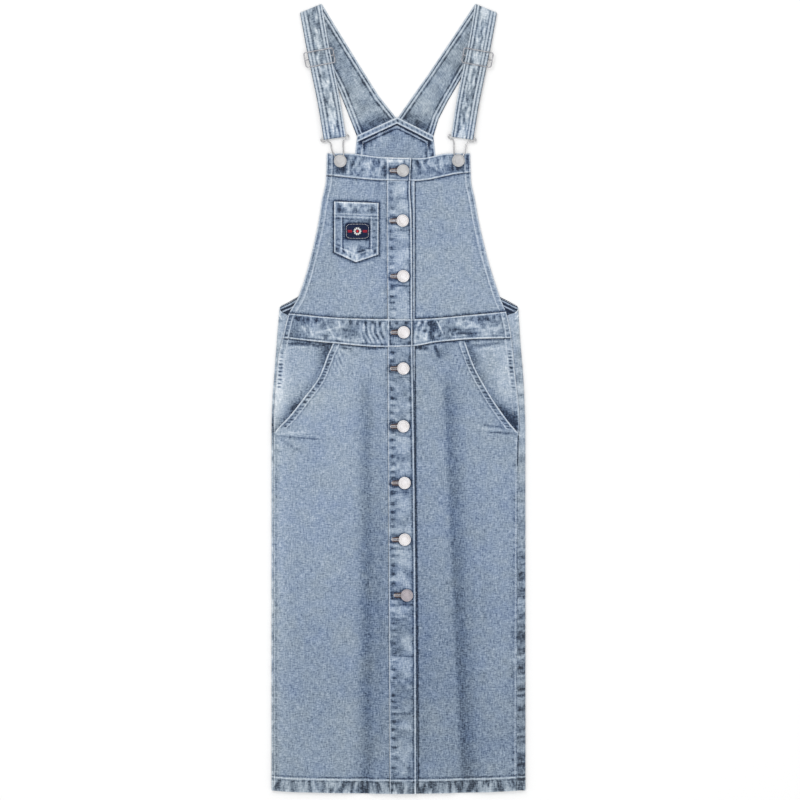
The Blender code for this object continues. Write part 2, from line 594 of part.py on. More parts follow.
def slider(name, side):
    """Flat adjuster: two side bars and three cross bars, the strap woven through them."""
    length, side_bar = SLIDER_HALF_LENGTH, SLIDER_SIDE
    u = [-length, side_bar - length, length - side_bar, length]
    bar = SLIDER_BAR / 2
    v = [-SLIDER_PITCH - bar, -SLIDER_PITCH + bar, -bar, bar, SLIDER_PITCH - bar, SLIDER_PITCH + bar]
    line = strap_line(0.0, SLIDER_DISTANCE)
    along, up = direction_of(line), square_to(line, 1)
    shape = bmesh.new()
    points = {}
    for i, a in enumerate(u):
        for j, b in enumerate(v):
            x, y = line[:, :2].mean(axis=0) + along * a + up * b
            points[i, j] = shape.verts.new(mirrored((x, y, SLIDER_UNDERSIDE), side))
    for i in range(3):
        for j in range(5):
            if i != 1 or j % 2 == 0:
                corners = [points[i, j], points[i + 1, j], points[i + 1, j + 1], points[i, j + 1]]
                shape.faces.new(corners if side < 0 else corners[::-1])
    mesh = bpy.data.meshes.new(name)
    shape.to_mesh(mesh)
    shape.free()
    made = add_object(name, mesh, "metal")
    thick = made.modifiers.new("thick", "SOLIDIFY")
    thick.thickness = SLIDER_THICK
    thick.offset = 1
    edges = made.modifiers.new("edges", "BEVEL")
    edges.width = SLIDER_EDGE
    edges.segments = 1
    edges.limit_method = "ANGLE"


def turned(name, profile):
    """A round solid from its profile of radius and height."""
    shape = bmesh.new()
    points = [shape.verts.new((radius, 0, height)) for radius, height in profile]
    edges = [shape.edges.new(pair) for pair in zip(points, points[1:])]
    bmesh.ops.spin(shape, geom=points + edges, cent=(0, 0, 0), axis=(0, 0, 1), angle=2 * math.pi,
                   steps=TURNED_STEPS, use_merge=True)
    bmesh.ops.remove_doubles(shape, verts=shape.verts, dist=TURNED_MERGE)
    bmesh.ops.recalc_face_normals(shape, faces=shape.faces)
    mesh = bpy.data.meshes.new(name)
    shape.to_mesh(mesh)
    shape.free()
    mesh.shade_smooth()
    mesh.set_sharp_from_angle(angle=math.radians(35))
    return mesh


def buttons():
    placket_top = PLACKET_LIFT + BAND + GAP
    front = turned("button", BUTTON_PROFILE)
    for number, (x, y) in enumerate(BUTTONS, start=1):
        made = add_object(f"button_{number}", front.copy(), "metal")
        made.location = (x, y, front_height(x, y) + placket_top)
    bib = turned("bib_button", BIB_BUTTON_PROFILE)
    for side, (x, y) in BIB_BUTTONS.items():
        made = add_object(f"bib_button_{side}", bib.copy(), "metal")
        made.location = (x, y, front_height(x, y) + BAND + GAP)


def main():
    for old in list(bpy.data.objects):
        bpy.data.objects.remove(old)
    back_panel()
    back_yoke_band()
    hip_panel("hip_panel_left", -1, FRONT_EDGE_LEFT, SLANT_LEFT)
    hip_panel("hip_panel_right", 1, FRONT_EDGE_RIGHT, SLANT_RIGHT)
    skirt_fronts()
    banded_pieces()
    bib_fronts()
    chest_pocket()
    pocket_patch()
    for name, side in (("left", -1), ("right", 1)):
        strap("strap_" + name, side)
        buckle("buckle_" + name, side, BIB_BUTTONS[name])
        slider("slider_" + name, side)
    buttons()


main()
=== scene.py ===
"""Looks of a light-wash denim dungaree maxi dress that lies flat on a pale floor.

Metres, in the frame's own axes: +Y from the hem to the shoulder folds, +X to the viewer's right, +Z up.
Only the tables that in_metres reads are in millimetres.
Every panel, band and strap is a thin shell on its solid's form, with its puckers, folds and worn edges.
Its point attribute says how far the indigo is washed out there, with painted shade and some painted light
added in: -1 is dark, +1 is pale.
"""

import math

import bpy
import numpy as np
from mathutils import Matrix, Vector
from mathutils.bvhtree import BVHTree


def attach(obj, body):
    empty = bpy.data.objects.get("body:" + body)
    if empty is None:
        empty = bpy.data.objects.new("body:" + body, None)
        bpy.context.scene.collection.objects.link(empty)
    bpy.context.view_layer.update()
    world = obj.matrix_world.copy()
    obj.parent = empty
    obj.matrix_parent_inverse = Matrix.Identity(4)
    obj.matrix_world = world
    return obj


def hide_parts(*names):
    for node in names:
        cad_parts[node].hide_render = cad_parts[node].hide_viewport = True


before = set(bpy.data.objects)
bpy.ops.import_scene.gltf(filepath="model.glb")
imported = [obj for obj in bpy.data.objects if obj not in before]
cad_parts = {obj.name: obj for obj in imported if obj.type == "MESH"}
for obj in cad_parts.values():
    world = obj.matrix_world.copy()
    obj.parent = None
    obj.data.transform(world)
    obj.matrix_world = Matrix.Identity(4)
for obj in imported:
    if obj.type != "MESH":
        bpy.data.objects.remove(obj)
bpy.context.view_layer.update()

# ---------------------------------------------------------------- sizes of the cloth
CLOTH = 0.001
BAND = 0.0016
STRAP = 0.0014
GAP = 0.0003
HEM_CLOTH = 0.0016
HEM_DEPTH = 0.023
HEM_STEP = 0.0008
POCKET_CLOTH = 0.0012
PLACKET_LIFT = BAND + GAP
POCKET_DROP = CLOTH + GAP
UNDER_OVERLAP = 0.004
CLIMB_BEFORE, CLIMB_AFTER = 0.004, 0.002
SLANT_OVERLAP = 0.012
DIP_START, DIP_END = 0.006, 0.02

# Heights of the front layer's underside above the floor
FRONT_LEVEL = [  # y, height
    (-0.671, 0.0046), (0.0, 0.0046), (0.06, 0.0036), (0.09, 0.0029),
    (0.145, 0.0027), (0.175, 0.0017), (0.417, 0.0014),
]
FOLD_DEPTH = 0.0027
FOLD_START, FOLD_FULL = 0.085, 0.0
LONG_FOLDS = [  # x at the waist, x at the hem, reach to the left, reach to the right
    (-0.0586, -0.0586, 0.041, 0.02),
    (0.083, 0.104, 0.02, 0.056),
]

# Outlines: x at each height y
FRONT_EDGE_LEFT = [  # y, x
    (0.4168, -0.1215), (0.3717, -0.1232), (0.3377, -0.13), (0.3037, -0.1352),
    (0.2357, -0.1504), (0.174, -0.1697), (0.1405, -0.1878), (0.1065, -0.1963),
    (0.0717, -0.2041), (0.0317, -0.2077), (-0.0023, -0.2104), (-0.0584, -0.2118), (-0.671, -0.2118),
]
FRONT_EDGE_RIGHT = [
    (0.4168, 0.1215), (0.3717, 0.1232), (0.3377, 0.13), (0.3037, 0.136),
    (0.2357, 0.1522), (0.1731, 0.1722), (0.1405, 0.185), (0.115, 0.1904),
    (0.0895, 0.1938), (0.0453, 0.198), (-0.0023, 0.2032), (-0.0363, 0.2057),
    (-0.0703, 0.204), (-0.1383, 0.2028), (-0.671, 0.2009),
]
SIDE_FOLD_LEFT = [
    (0.1575, -0.2014), (0.1337, -0.2038), (0.0895, -0.2074), (0.0317, -0.2117),
    (-0.0023, -0.2142), (-0.0533, -0.2156), (-0.671, -0.2157),
]
SIDE_FOLD_RIGHT = [
    (0.1575, 0.2032), (0.1337, 0.2047), (0.0895, 0.2076), (0.0453, 0.2113),
    (-0.0023, 0.214), (-0.0533, 0.2154), (-0.671, 0.2157),
]
SLANT_LEFT = [
    (0.095, -0.1108), (0.0759, -0.1195), (0.0368, -0.1352), (-0.0006, -0.1623),
    (-0.0312, -0.1865), (-0.0465, -0.2014), (-0.0584, -0.2117),
]
SLANT_RIGHT = [
    (0.097, 0.113), (0.0555, 0.1283), (0.0147, 0.1504), (-0.0023, 0.1607),
    (-0.0269, 0.1777), (-0.0439, 0.1906), (-0.0601, 0.2054),
]
PLACKET_STITCH = [(0.4168, -0.0196), (-0.1723, -0.017), (-0.671, -0.0148)]
PLACKET_FREE_EDGE = [
    (0.4168, 0.0219), (0.3547, 0.0196), (0.3122, 0.022), (0.2085, 0.0232),
    (0.1133, 0.0234), (-0.011, 0.0253), (-0.184, 0.0276), (-0.422, 0.0294), (-0.671, 0.03),
]
UNDER_SEAM = [(0.4168, 0.0275), (0.1167, 0.0275), (-0.1723, 0.0289), (-0.4103, 0.0314), (-0.671, 0.0331)]

# Outlines: y at each x
BIB_TOP = [(-0.124, 0.4168), (-0.091, 0.4168), (-0.0314, 0.4108), (0.0025, 0.4091),
           (0.0365, 0.4086), (0.0875, 0.4168), (0.124, 0.4168)]
BAND_SEAM = [(-0.124, 0.38), (-0.0229, 0.3709), (0.0281, 0.37), (0.1045, 0.3828), (0.124, 0.3845)]
WAIST_TOP = [(-0.19, 0.1455), (-0.0926, 0.1371), (-0.0178, 0.1354), (0.0257, 0.1354),
             (0.1283, 0.1429), (0.19, 0.1487)]
WAIST_BOTTOM = [(-0.199, 0.1033), (-0.1148, 0.0946), (-0.0229, 0.0878), (0.0196, 0.0887),
                (0.0682, 0.0965), (0.1283, 0.1014), (0.196, 0.1031)]
HEM = [(-0.216, -0.6653), (-0.1674, -0.6684), (0.0025, -0.6709), (0.1385, -0.6687), (0.216, -0.665)]
HIGHEST_WAIST, LOWEST_HEM = WAIST_BOTTOM[0][1], HEM[2][1]

# Back panel's top edge, and the yoke band on its peak
BACK_TOP = [  # x, y
    (-0.1862, 0.1643), (-0.1697, 0.174), (-0.147, 0.2017), (-0.125, 0.2442), (-0.1028, 0.3003),
    (-0.0858, 0.3547), (-0.0745, 0.4108), (-0.0705, 0.444), (-0.0365, 0.4601), (-0.0025, 0.4754),
    (0.0281, 0.4601), (0.0595, 0.444), (0.063, 0.4108), (0.0858, 0.3547), (0.1062, 0.3003),
    (0.1266, 0.2442), (0.1488, 0.2017), (0.1722, 0.1731), (0.1878, 0.1652),
]
SIDE_TOP_SEAM, SIDE_TOP_MIDDLE, SIDE_TOP_FOLD, SIDE_TOP_INSIDE = 0.1415, 0.14675, 0.15, 0.1575
YOKE_PEAK = [(-0.07, 0.4442), (-0.036, 0.46), (-0.0025, 0.4754), (0.0285, 0.46), (0.059, 0.4442)]
YOKE_TOP, YOKE_BOTTOM = 0.003, -0.008

# Straps, on the left; the right one mirrors the front run
STRAP_FRONT = [  # distance down from the shoulder fold, outer edge x and y, inner edge x and y
    (0.0, -0.1674, 0.6556, -0.1305, 0.6709),
    (0.069, -0.1552, 0.59, -0.1176, 0.5973),
    (0.107, -0.1476, 0.553, -0.1098, 0.5603),
    (0.159, -0.1372, 0.502, -0.0995, 0.5093),
    (0.222, -0.1268, 0.4395, -0.0894, 0.445),
]
STRAP_BACK = {  # side: (arm edge x and y, neck edge x and y), from the yoke to the shoulder fold
    -1: [(-0.0703, 0.445, -0.0031, 0.476), (-0.0855, 0.484, -0.033, 0.5135),
         (-0.101, 0.523, -0.056, 0.55), (-0.133, 0.588, -0.092, 0.608),
         (-0.1674, 0.6556, -0.1305, 0.6709)],
    1: [(0.059, 0.445, -0.0019, 0.476), (0.068, 0.475, 0.025, 0.515),
        (0.084, 0.506, 0.052, 0.553), (0.118, 0.564, 0.086, 0.604),
        (0.1674, 0.6556, 0.1305, 0.6709)],
}
TAIL_HEIGHT = [(0.0, 0.0019), (0.15, 0.0019), (0.219, 0.0006)]
STRAP_HEIGHT = [  # distance down from the fold, height of the strap's underside
    (0.0, 0.002), (0.045, 0.0026), (0.066, 0.0036), (0.0735, 0.0036), (0.082, 0.0074),
    (0.086, 0.0074), (0.0945, 0.0036), (0.102, 0.0036), (0.16, 0.004), (0.205, 0.005),
    (0.219, 0.005),
]
TAIL_END = 0.088
SLIDER_DISTANCE = 0.084

# Chest pocket and its patch
POCKET_SIDES = (-0.1092, -0.034)
POCKET_TOP = [(-0.1092, 0.335), (-0.034, 0.3323)]
POCKET_FOOT = [(-0.1092, 0.2485), (-0.0722, 0.2318), (-0.034, 0.2447)]
PATCH_CENTRE, PATCH_SIZE, PATCH_CORNER = (-0.0697, 0.2842), (0.0425, 0.0289), 0.006

BUTTONS = [  # x, y, from the bib top down
    (0.0078, 0.387), (0.0071, 0.302), (0.0082, 0.2078), (0.009, 0.1125), (0.0083, 0.0511),
    (0.0083, -0.047), (0.0104, -0.1431), (0.0107, -0.2391), (0.0144, -0.3336),
]

# ---------------------------------------------------------------- camera and floor
METRES_PER_PIXEL = 0.0017
PICTURE_SIDE = 800
PICTURE_CENTRE = (0.0026, -0.0023)      # x, y under the middle of the picture
CAMERA_HEIGHT = 4.0

# ---------------------------------------------------------------- how fine the cloth is
STEP = 0.0022
EDGE_STEPS = (0.0, 0.0003, 0.0008, 0.0015)
EDGE_ROUND = 0.001
EDGE_SHARE, FREE_EDGE_SHARE = 0.35, 0.4     # of the thickness, left at a sewn edge and at a free one

LINE_COVER = 0.8        # how far a worn line hides the shade below it
SEAM_WIDTH, SEAM_PALE = 0.0011, 0.55        # of the worn stitch lines on the back and the straps


def curve(rows, at):
    """Smooth curve through the rows of (place, value), without overshoot."""
    place, value = np.array(sorted(map(tuple, rows))).T
    step = np.diff(place)
    slope = np.diff(value) / step
    tangent = np.concatenate([slope[:1], np.zeros(len(slope) - 1), slope[-1:]])
    turns = slope[:-1] * slope[1:] <= 0
    mean = 2 * slope[:-1] * slope[1:] / np.where(turns, 1, slope[:-1] + slope[1:])
    tangent[1:-1] = np.where(turns, 0, mean)
    at = np.clip(at, place[0], place[-1])
    i = np.clip(np.searchsorted(place, at, side="right") - 1, 0, len(step) - 1)
    t = (at - place[i]) / step[i]
    rise = (3 - 2 * t) * t * t
    return (value[i] * (1 - rise) + value[i + 1] * rise
            + step[i] * t * (1 - t) * (tangent[i] * (1 - t) - tangent[i + 1] * t))


def straight(rows, at):
    place, value = np.array(sorted(map(tuple, rows))).T
    return np.interp(at, place, value)


def smooth_step(value, start, end):
    t = np.clip((value - start) / (end - start), 0, 1)
    return t * t * (3 - 2 * t)


def bump(distance, centre, width):
    """1 at the centre, falling off softly to either side."""
    return np.exp(-((distance - centre) / width) ** 2)


def edge_rounding(from_edge, least=EDGE_SHARE):
    """Share of the full thickness: falls off in a quarter round to the least share at the edge."""
    inside = np.clip(from_edge / EDGE_ROUND, 0, 1)
    return least + (1 - least) * np.sqrt(1 - (1 - inside) ** 2)


def under_line(shade, line, pale):
    """A shade that gives way to a worn line as pale as that, where line is 1."""
    return shade * (1 - LINE_COVER * line) + pale * line


def along_run(x, y):
    """How far along a run of points each one lies."""
    return np.concatenate([[0], np.cumsum(np.hypot(np.diff(x), np.diff(y)))])


def lattice(x, y, seed):
    """Smooth noise from -1 to 1 with about one hump for each unit."""
    x, y = np.asarray(x, float), np.asarray(y, float)
    left, low = np.floor(x).astype(np.int64), np.floor(y).astype(np.int64)
    s, t = x - left, y - low
    s, t = s * s * (3 - 2 * s), t * t * (3 - 2 * t)

    def corner(i, j):
        n = (i * 374761393 + j * 668265263 + seed * 362437) & 0xFFFFFFFF
        n = ((n ^ (n >> 13)) * 1274126177) & 0xFFFFFFFF
        return ((n ^ (n >> 16)) & 0xFFFF) / 32767.5 - 1

    low_row = corner(left, low) * (1 - s) + corner(left + 1, low) * s
    high_row = corner(left, low + 1) * (1 - s) + corner(left + 1, low + 1) * s
    return low_row * (1 - t) + high_row * t


def clouds(x, y, size, seed):
    return (lattice(x / size, y / size, seed) + 0.5 * lattice(2 * x / size, 2 * y / size, seed + 7)) / 1.5


def puckers(along, away, pitch, reach, seed, lean=0.0):
    """Small folds that start at a seam and run away from it, uneven in width and strength."""
    shifted = (along + lean * away) / pitch
    folds = 0.8 * lattice(2 * shifted, away / (1.5 * reach), seed)
    folds += 0.4 * lattice(4.3 * shifted, away / reach, seed + 3)
    strength = 0.65 + 0.35 * lattice(along / (4 * pitch), 0 * along, seed + 5)
    return np.tanh(2.4 * folds) * strength * np.exp(-(np.maximum(away, 0) / reach) ** 2)


def rungs(along, pitch, seed):
    """Uneven dashes across a double seam: 1 on a dash, 0 between."""
    phase = along / pitch + 0.42 * lattice(along / (2.2 * pitch), 0 * along, seed)
    strength = 0.6 + 0.4 * lattice(along / (2.7 * pitch), 0 * along + 9.5, seed + 1)
    return strength * np.clip(1.6 * np.cos(2 * math.pi * phase) - 0.1, 0, 1)


def front_height(x, y):
    """Height of the front layer's underside: its level, less the long soft folds."""
    height = curve(FRONT_LEVEL, y)
    for waist_x, hem_x, reach_left, reach_right in LONG_FOLDS:
        height = height - FOLD_DEPTH * fold_share(x, y, waist_x, hem_x, reach_left, reach_right)
    return height


def fold_share(x, y, waist_x, hem_x, reach_left, reach_right):
    down = np.clip((HIGHEST_WAIST - y) / (HIGHEST_WAIST - LOWEST_HEM), 0, 1)
    away = x - (waist_x + (hem_x - waist_x) * down)
    share = np.clip(np.abs(away) / np.where(away < 0, reach_left, reach_right), 0, 1)
    return smooth_step(-y, -FOLD_START, -FOLD_FULL) * (1 + np.cos(math.pi * share)) / 2


def along_y(rows, shift=0.0):
    return lambda y: curve(rows, y) + shift


def along_x(rows, shift=0.0):
    return lambda x: curve(rows, x) + shift


def hem_y(x):
    return curve(HEM, x)


def places(length, step=STEP, fine=()):
    """Shares of a length: close together at both ends, a step apart between, and finer in the
    spans of (from, to, step) that fine gives."""
    cuts = list(EDGE_STEPS)
    at = EDGE_STEPS[-1]
    while at < length - EDGE_STEPS[-1] - step:
        wide = next((small for start, end, small in fine if start <= at < end), step)
        at += wide
        if at < length - EDGE_STEPS[-1] - wide / 2:
            cuts.append(at)
    cuts += [length - edge for edge in reversed(EDGE_STEPS)]
    return np.array(cuts) / length


SETTLING_ROUNDS = 12
SLOPE_STEP = 0.001


class Panel:
    """A grid of (x, y) between two side curves of y and two end curves of x, with the distance of
    each point from its four edges."""

    def __init__(self, left, right, top, bottom, across, down):
        middle = (left(0.0) + right(0.0)) / 2
        x = np.full((len(down), len(across)), middle)
        for _ in range(SETTLING_ROUNDS):
            y = top(x) + (bottom(x) - top(x)) * down[:, None]
            x = left(y) + (right(y) - left(y)) * across
        self.x, self.y = x, y
        self.left, self.right, self.top, self.bottom = left, right, top, bottom
        self.from_left = (x - left(y)) * self.lean(left, y)
        self.from_right = (right(y) - x) * self.lean(right, y)
        self.from_top = top(x) - y
        self.from_bottom = y - bottom(x)

    @staticmethod
    def lean(edge, y):
        slope = (edge(y + SLOPE_STEP) - edge(y - SLOPE_STEP)) / (2 * SLOPE_STEP)
        return 1 / np.sqrt(1 + slope ** 2)

    def away(self, edge):
        return getattr(self, "from_" + edge)

    def rounding(self):
        nearest = np.minimum(np.minimum(self.from_left, self.from_right),
                             np.minimum(self.from_top, self.from_bottom))
        return edge_rounding(nearest)


PIECES = {}
SHARP_ANGLE = math.radians(70)


def linked(name, data):
    """A new object of the scene."""
    made = bpy.data.objects.new(name, data)
    bpy.context.scene.collection.objects.link(made)
    return made


def shell(name, node, outer, inner, wash_and_shade, uv, finish, inner_wash_and_shade=None):
    """A closed thin mesh from two grids of points, outer side up or out."""
    rows, columns = outer.shape[:2]
    count = rows * columns
    index = np.arange(count).reshape(rows, columns)
    quad = np.stack([index[:-1, :-1], index[1:, :-1], index[1:, 1:], index[:-1, 1:]], -1).reshape(-1, 4)
    ring = np.concatenate([index[0, :-1], index[:-1, -1], index[-1, :0:-1], index[:0:-1, 0]])
    following = np.roll(ring, -1)
    rim = np.stack([ring, following, following + count, ring + count], -1)
    faces = np.concatenate([quad, quad[:, ::-1] + count, rim])
    mesh = bpy.data.meshes.new(name)
    points = np.concatenate([outer.reshape(-1, 3), inner.reshape(-1, 3)])
    mesh.vertices.add(len(points))
    mesh.vertices.foreach_set("co", points.ravel())
    mesh.loops.add(faces.size)
    mesh.loops.foreach_set("vertex_index", faces.ravel())
    mesh.polygons.add(len(faces))
    mesh.polygons.foreach_set("loop_start", np.arange(len(faces)) * 4)
    mesh.update(calc_edges=True)
    mesh.validate()
    laid = mesh.uv_layers.new(name="UVMap")
    both = np.concatenate([uv.reshape(-1, 2)] * 2)
    laid.data.foreach_set("uv", both[faces.ravel()].ravel())
    # The point attribute: how far the indigo is washed out, with painted shade and light added in
    worn = mesh.attributes.new("wash_and_shade", "FLOAT", "POINT")
    inner_wash_and_shade = wash_and_shade if inner_wash_and_shade is None else inner_wash_and_shade
    worn.data.foreach_set("value", np.concatenate([wash_and_shade.ravel(), inner_wash_and_shade.ravel()]).astype(np.float32))
    tint = np.clip(tint_of(points[:, 0], points[:, 1]), -1, 1)
    mesh.attributes.new("tint", "FLOAT", "POINT").data.foreach_set("value", tint.astype(np.float32))
    mesh.shade_smooth()
    mesh.set_sharp_from_angle(angle=SHARP_ANGLE)
    made = linked(name, mesh)
    mesh.materials.append(finish)
    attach(made, "root")
    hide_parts(node)
    PIECES[name] = made
    return made


def tint_of(x, y):
    """How far the blue turns to grey, from -1 to 1: most of all in the hem, the straps and the side folds."""
    hem = 1 - smooth_step(y - hem_y(x), HEM_DEPTH - 0.004, HEM_DEPTH + 0.004)
    low = smooth_step(-y, 0.3, 0.62)
    straps = smooth_step(y, 0.45, 0.49)
    sides = smooth_step(np.abs(x), 0.198, 0.206)
    shift = 0.35 * low + 0.7 * hem + 0.85 * straps + 0.5 * sides + 0.25 * bump(y, 0.04, 0.08)
    return 0.45 * clouds(x, y, 0.045, 21) + 0.35 * clouds(x, y, 0.012, 22) + shift


# ---------------------------------------------------------------- finishes
def node_of(tree, kind, **settings):
    made = tree.nodes.new(kind)
    for name, value in settings.items():
        setattr(made, name, value)
    return made


def mathed(tree, operation, first, second=None, third=None, clamp=False):
    """A Math node's result; first, second and third are sockets or plain numbers."""
    made = node_of(tree, "ShaderNodeMath", operation=operation, use_clamp=clamp)
    for socket, value in zip(made.inputs, (first, second, third)):
        if value is None:
            continue
        if isinstance(value, (int, float)):
            socket.default_value = value
        else:
            tree.links.new(value, socket)
    return made.outputs[0]


def stretched_noise(tree, uv, per_metre, detail, seed):
    """Noise from -1 to 1 whose grains are 1 / per_metre across and along."""
    placed = node_of(tree, "ShaderNodeMapping")
    placed.inputs["Scale"].default_value = (*per_metre, 1)
    placed.inputs["Location"].default_value = (seed * 3.7, seed * 1.9, seed)
    tree.links.new(uv, placed.inputs["Vector"])
    noise = node_of(tree, "ShaderNodeTexNoise")
    noise.inputs["Scale"].default_value = 1.0
    noise.inputs["Detail"].default_value = detail
    tree.links.new(placed.outputs["Vector"], noise.inputs["Vector"])
    return mathed(tree, "MULTIPLY_ADD", noise.outputs["Fac"], 2.0, -1.0)


# The ramp colours the washed-out indigo and the painted shade and light alike
WASH_AND_SHADE_RAMP = [  # wash from 0 to 1, linear red, green, blue
    (0.0, (0.013, 0.022, 0.045)),
    (0.1, (0.046, 0.072, 0.125)),
    (0.22, (0.09, 0.132, 0.205)),
    (0.5, (0.245, 0.31, 0.405)),
    (0.75, (0.43, 0.495, 0.575)),
    (1.0, (0.69, 0.73, 0.775)),
]
GRAIN = [  # grains per metre across and along, detail, strength in wash, seed
    ((16, 16), 2.0, 0.02, 1),
    ((70, 45), 2.0, 0.045, 2),
    ((620, 90), 1.0, 0.24, 3),
    ((300, 380), 1.0, 0.24, 4),
    ((110, 640), 1.0, 0.24, 5),
]
FIRST_YARN_SEED = 3             # the grains from this seed on are as fine as yarns, and raised
TINT_GREY, TINT_GREEN = 0.28, 0.014
TWILL_PITCH, TWILL_LEAN = 0.0011, (0.64, 0.77)
TWILL_WASH, TWILL_BUMP = 0.07, 0.00005
YARN_BUMP = 0.0004


def denim(name, pale=0.0):
    """Washed cotton twill: indigo worn to white along the ridges, with slubs, mottling and twill lines. Its
    colour follows the point attribute, so it also shows the painted shade and light in it.
    """
    made = bpy.data.materials.new(name)
    made.use_nodes = True
    tree = made.node_tree
    shader = tree.nodes["Principled BSDF"]
    shader.inputs["Roughness"].default_value = 0.92
    shader.inputs["Specular IOR Level"].default_value = 0.18
    shader.inputs["Sheen Weight"].default_value = 0.12
    shader.inputs["Sheen Roughness"].default_value = 0.5
    uv = node_of(tree, "ShaderNodeUVMap", uv_map="UVMap").outputs["UV"]
    # The attribute brings the washed-out indigo and the painted shade and light into the colour
    worn = node_of(tree, "ShaderNodeAttribute", attribute_name="wash_and_shade").outputs["Fac"]
    wash_and_shade = mathed(tree, "MULTIPLY_ADD", worn, 0.5, 0.5 + pale)
    yarns = None
    for per_metre, detail, strength, seed in GRAIN:
        part = mathed(tree, "MULTIPLY", stretched_noise(tree, uv, per_metre, detail, seed), strength)
        wash_and_shade = mathed(tree, "ADD", wash_and_shade, part)
        if seed >= FIRST_YARN_SEED:
            yarns = part if yarns is None else mathed(tree, "ADD", yarns, part)
    across = node_of(tree, "ShaderNodeVectorMath", operation="DOT_PRODUCT")
    turn = 2 * math.pi / TWILL_PITCH
    across.inputs[1].default_value = (turn * TWILL_LEAN[0], turn * TWILL_LEAN[1], 0)
    tree.links.new(uv, across.inputs[0])
    twill = mathed(tree, "SINE", across.outputs["Value"])
    wash_and_shade = mathed(tree, "ADD", wash_and_shade, mathed(tree, "MULTIPLY", twill, TWILL_WASH), clamp=True)
    ramp = node_of(tree, "ShaderNodeValToRGB")
    points = ramp.color_ramp.elements
    while len(points) < len(WASH_AND_SHADE_RAMP):
        points.new(0.5)
    for point, (place, colour) in zip(points, WASH_AND_SHADE_RAMP):
        point.position, point.color = place, (*colour, 1)
    tree.links.new(wash_and_shade, ramp.inputs["Fac"])
    tint = node_of(tree, "ShaderNodeAttribute", attribute_name="tint").outputs["Fac"]
    greyed = node_of(tree, "ShaderNodeHueSaturation")
    for socket, base, share in (("Saturation", 0.98, -TINT_GREY), ("Hue", 0.5, -TINT_GREEN)):
        tree.links.new(mathed(tree, "MULTIPLY_ADD", tint, share, base), greyed.inputs[socket])
    tree.links.new(ramp.outputs["Color"], greyed.inputs["Color"])
    tree.links.new(greyed.outputs["Color"], shader.inputs["Base Color"])
    height = mathed(tree, "ADD", mathed(tree, "MULTIPLY", yarns, YARN_BUMP),
                    mathed(tree, "MULTIPLY", twill, TWILL_BUMP))
    bumped = node_of(tree, "ShaderNodeBump")
    bumped.inputs["Distance"].default_value = 1.0
    bumped.inputs["Strength"].default_value = 0.8
    tree.links.new(height, bumped.inputs["Height"])
    tree.links.new(bumped.outputs["Normal"], shader.inputs["Normal"])
    return made


def plain(name, colour, roughness, metallic=0.0, specular=0.5):
    made = bpy.data.materials.new(name)
    made.use_nodes = True
    shader = made.node_tree.nodes["Principled BSDF"]
    shader.inputs["Base Color"].default_value = (*colour, 1)
    shader.inputs["Roughness"].default_value = roughness
    shader.inputs["Metallic"].default_value = metallic
    shader.inputs["Specular IOR Level"].default_value = specular
    return made


DENIM = denim("washed_denim")
BAND_DENIM = denim("washed_denim_band", pale=0.03)


def painted(name, dark, light, roughness, size, metallic=0.0, bump_depth=0.0, specular=0.5):
    """A finish whose colour wanders between two, with a fine grain in it."""
    made = plain(name, dark, roughness, metallic, specular)
    tree = made.node_tree
    shader = tree.nodes["Principled BSDF"]
    place = node_of(tree, "ShaderNodeTexCoord").outputs["Object"]
    noise = node_of(tree, "ShaderNodeTexNoise")
    noise.inputs["Scale"].default_value = 1 / size
    noise.inputs["Detail"].default_value = 3.0
    tree.links.new(place, noise.inputs["Vector"])
    ramp = node_of(tree, "ShaderNodeValToRGB")
    low, high = ramp.color_ramp.elements
    low.position, low.color = 0.35, (*dark, 1)
    high.position, high.color = 0.65, (*light, 1)
    tree.links.new(noise.outputs["Fac"], ramp.inputs["Fac"])
    tree.links.new(ramp.outputs["Color"], shader.inputs["Base Color"])
    if bump_depth:
        bumped = node_of(tree, "ShaderNodeBump")
        bumped.inputs["Distance"].default_value = bump_depth
        bumped.inputs["Strength"].default_value = 0.6
        tree.links.new(noise.outputs["Fac"], bumped.inputs["Height"])
        tree.links.new(bumped.outputs["Normal"], shader.inputs["Normal"])
    return made


PATCH_CLOTH = painted("patch_cloth", (0.006, 0.01, 0.03), (0.014, 0.022, 0.055), 0.85, 0.0012,
                      bump_depth=0.0002, specular=0.1)
BUTTON_METAL = painted("button_metal", (0.5, 0.48, 0.48), (0.56, 0.55, 0.56), 0.38, 0.01, metallic=0.85)
BIB_METAL = painted("bib_button_metal", (0.34, 0.34, 0.35), (0.4, 0.4, 0.4), 0.42, 0.01, metallic=0.85)
WORN_METAL = painted("worn_button_metal", (0.27, 0.25, 0.27), (0.34, 0.31, 0.33), 0.45, 0.006, metallic=0.8)
WHITE_THREAD = painted("white_thread", (0.66, 0.66, 0.64), (0.82, 0.82, 0.8), 0.7, 0.002, specular=0.2)
RED_THREAD = painted("red_thread", (0.42, 0.012, 0.02), (0.6, 0.03, 0.04), 0.7, 0.002, specular=0.2)
THREAD = painted("pale_thread", (0.38, 0.44, 0.53), (0.6, 0.65, 0.72), 0.75, 0.006, specular=0.2)
TAN_THREAD = painted("tan_thread", (0.38, 0.34, 0.33), (0.62, 0.57, 0.55), 0.8, 0.0016, specular=0.2)
HOLE_DARK = painted("buttonhole_shade", (0.05, 0.036, 0.038), (0.115, 0.085, 0.085), 0.95, 0.002,
                    specular=0.0)
SLIDER_METAL = painted("slider_metal", (0.2, 0.2, 0.22), (0.4, 0.4, 0.42), 0.35, 0.006, metallic=0.85)
WIRE_METAL = painted("wire_metal", (0.36, 0.36, 0.37), (0.52, 0.52, 0.53), 0.3, 0.004, metallic=0.9)
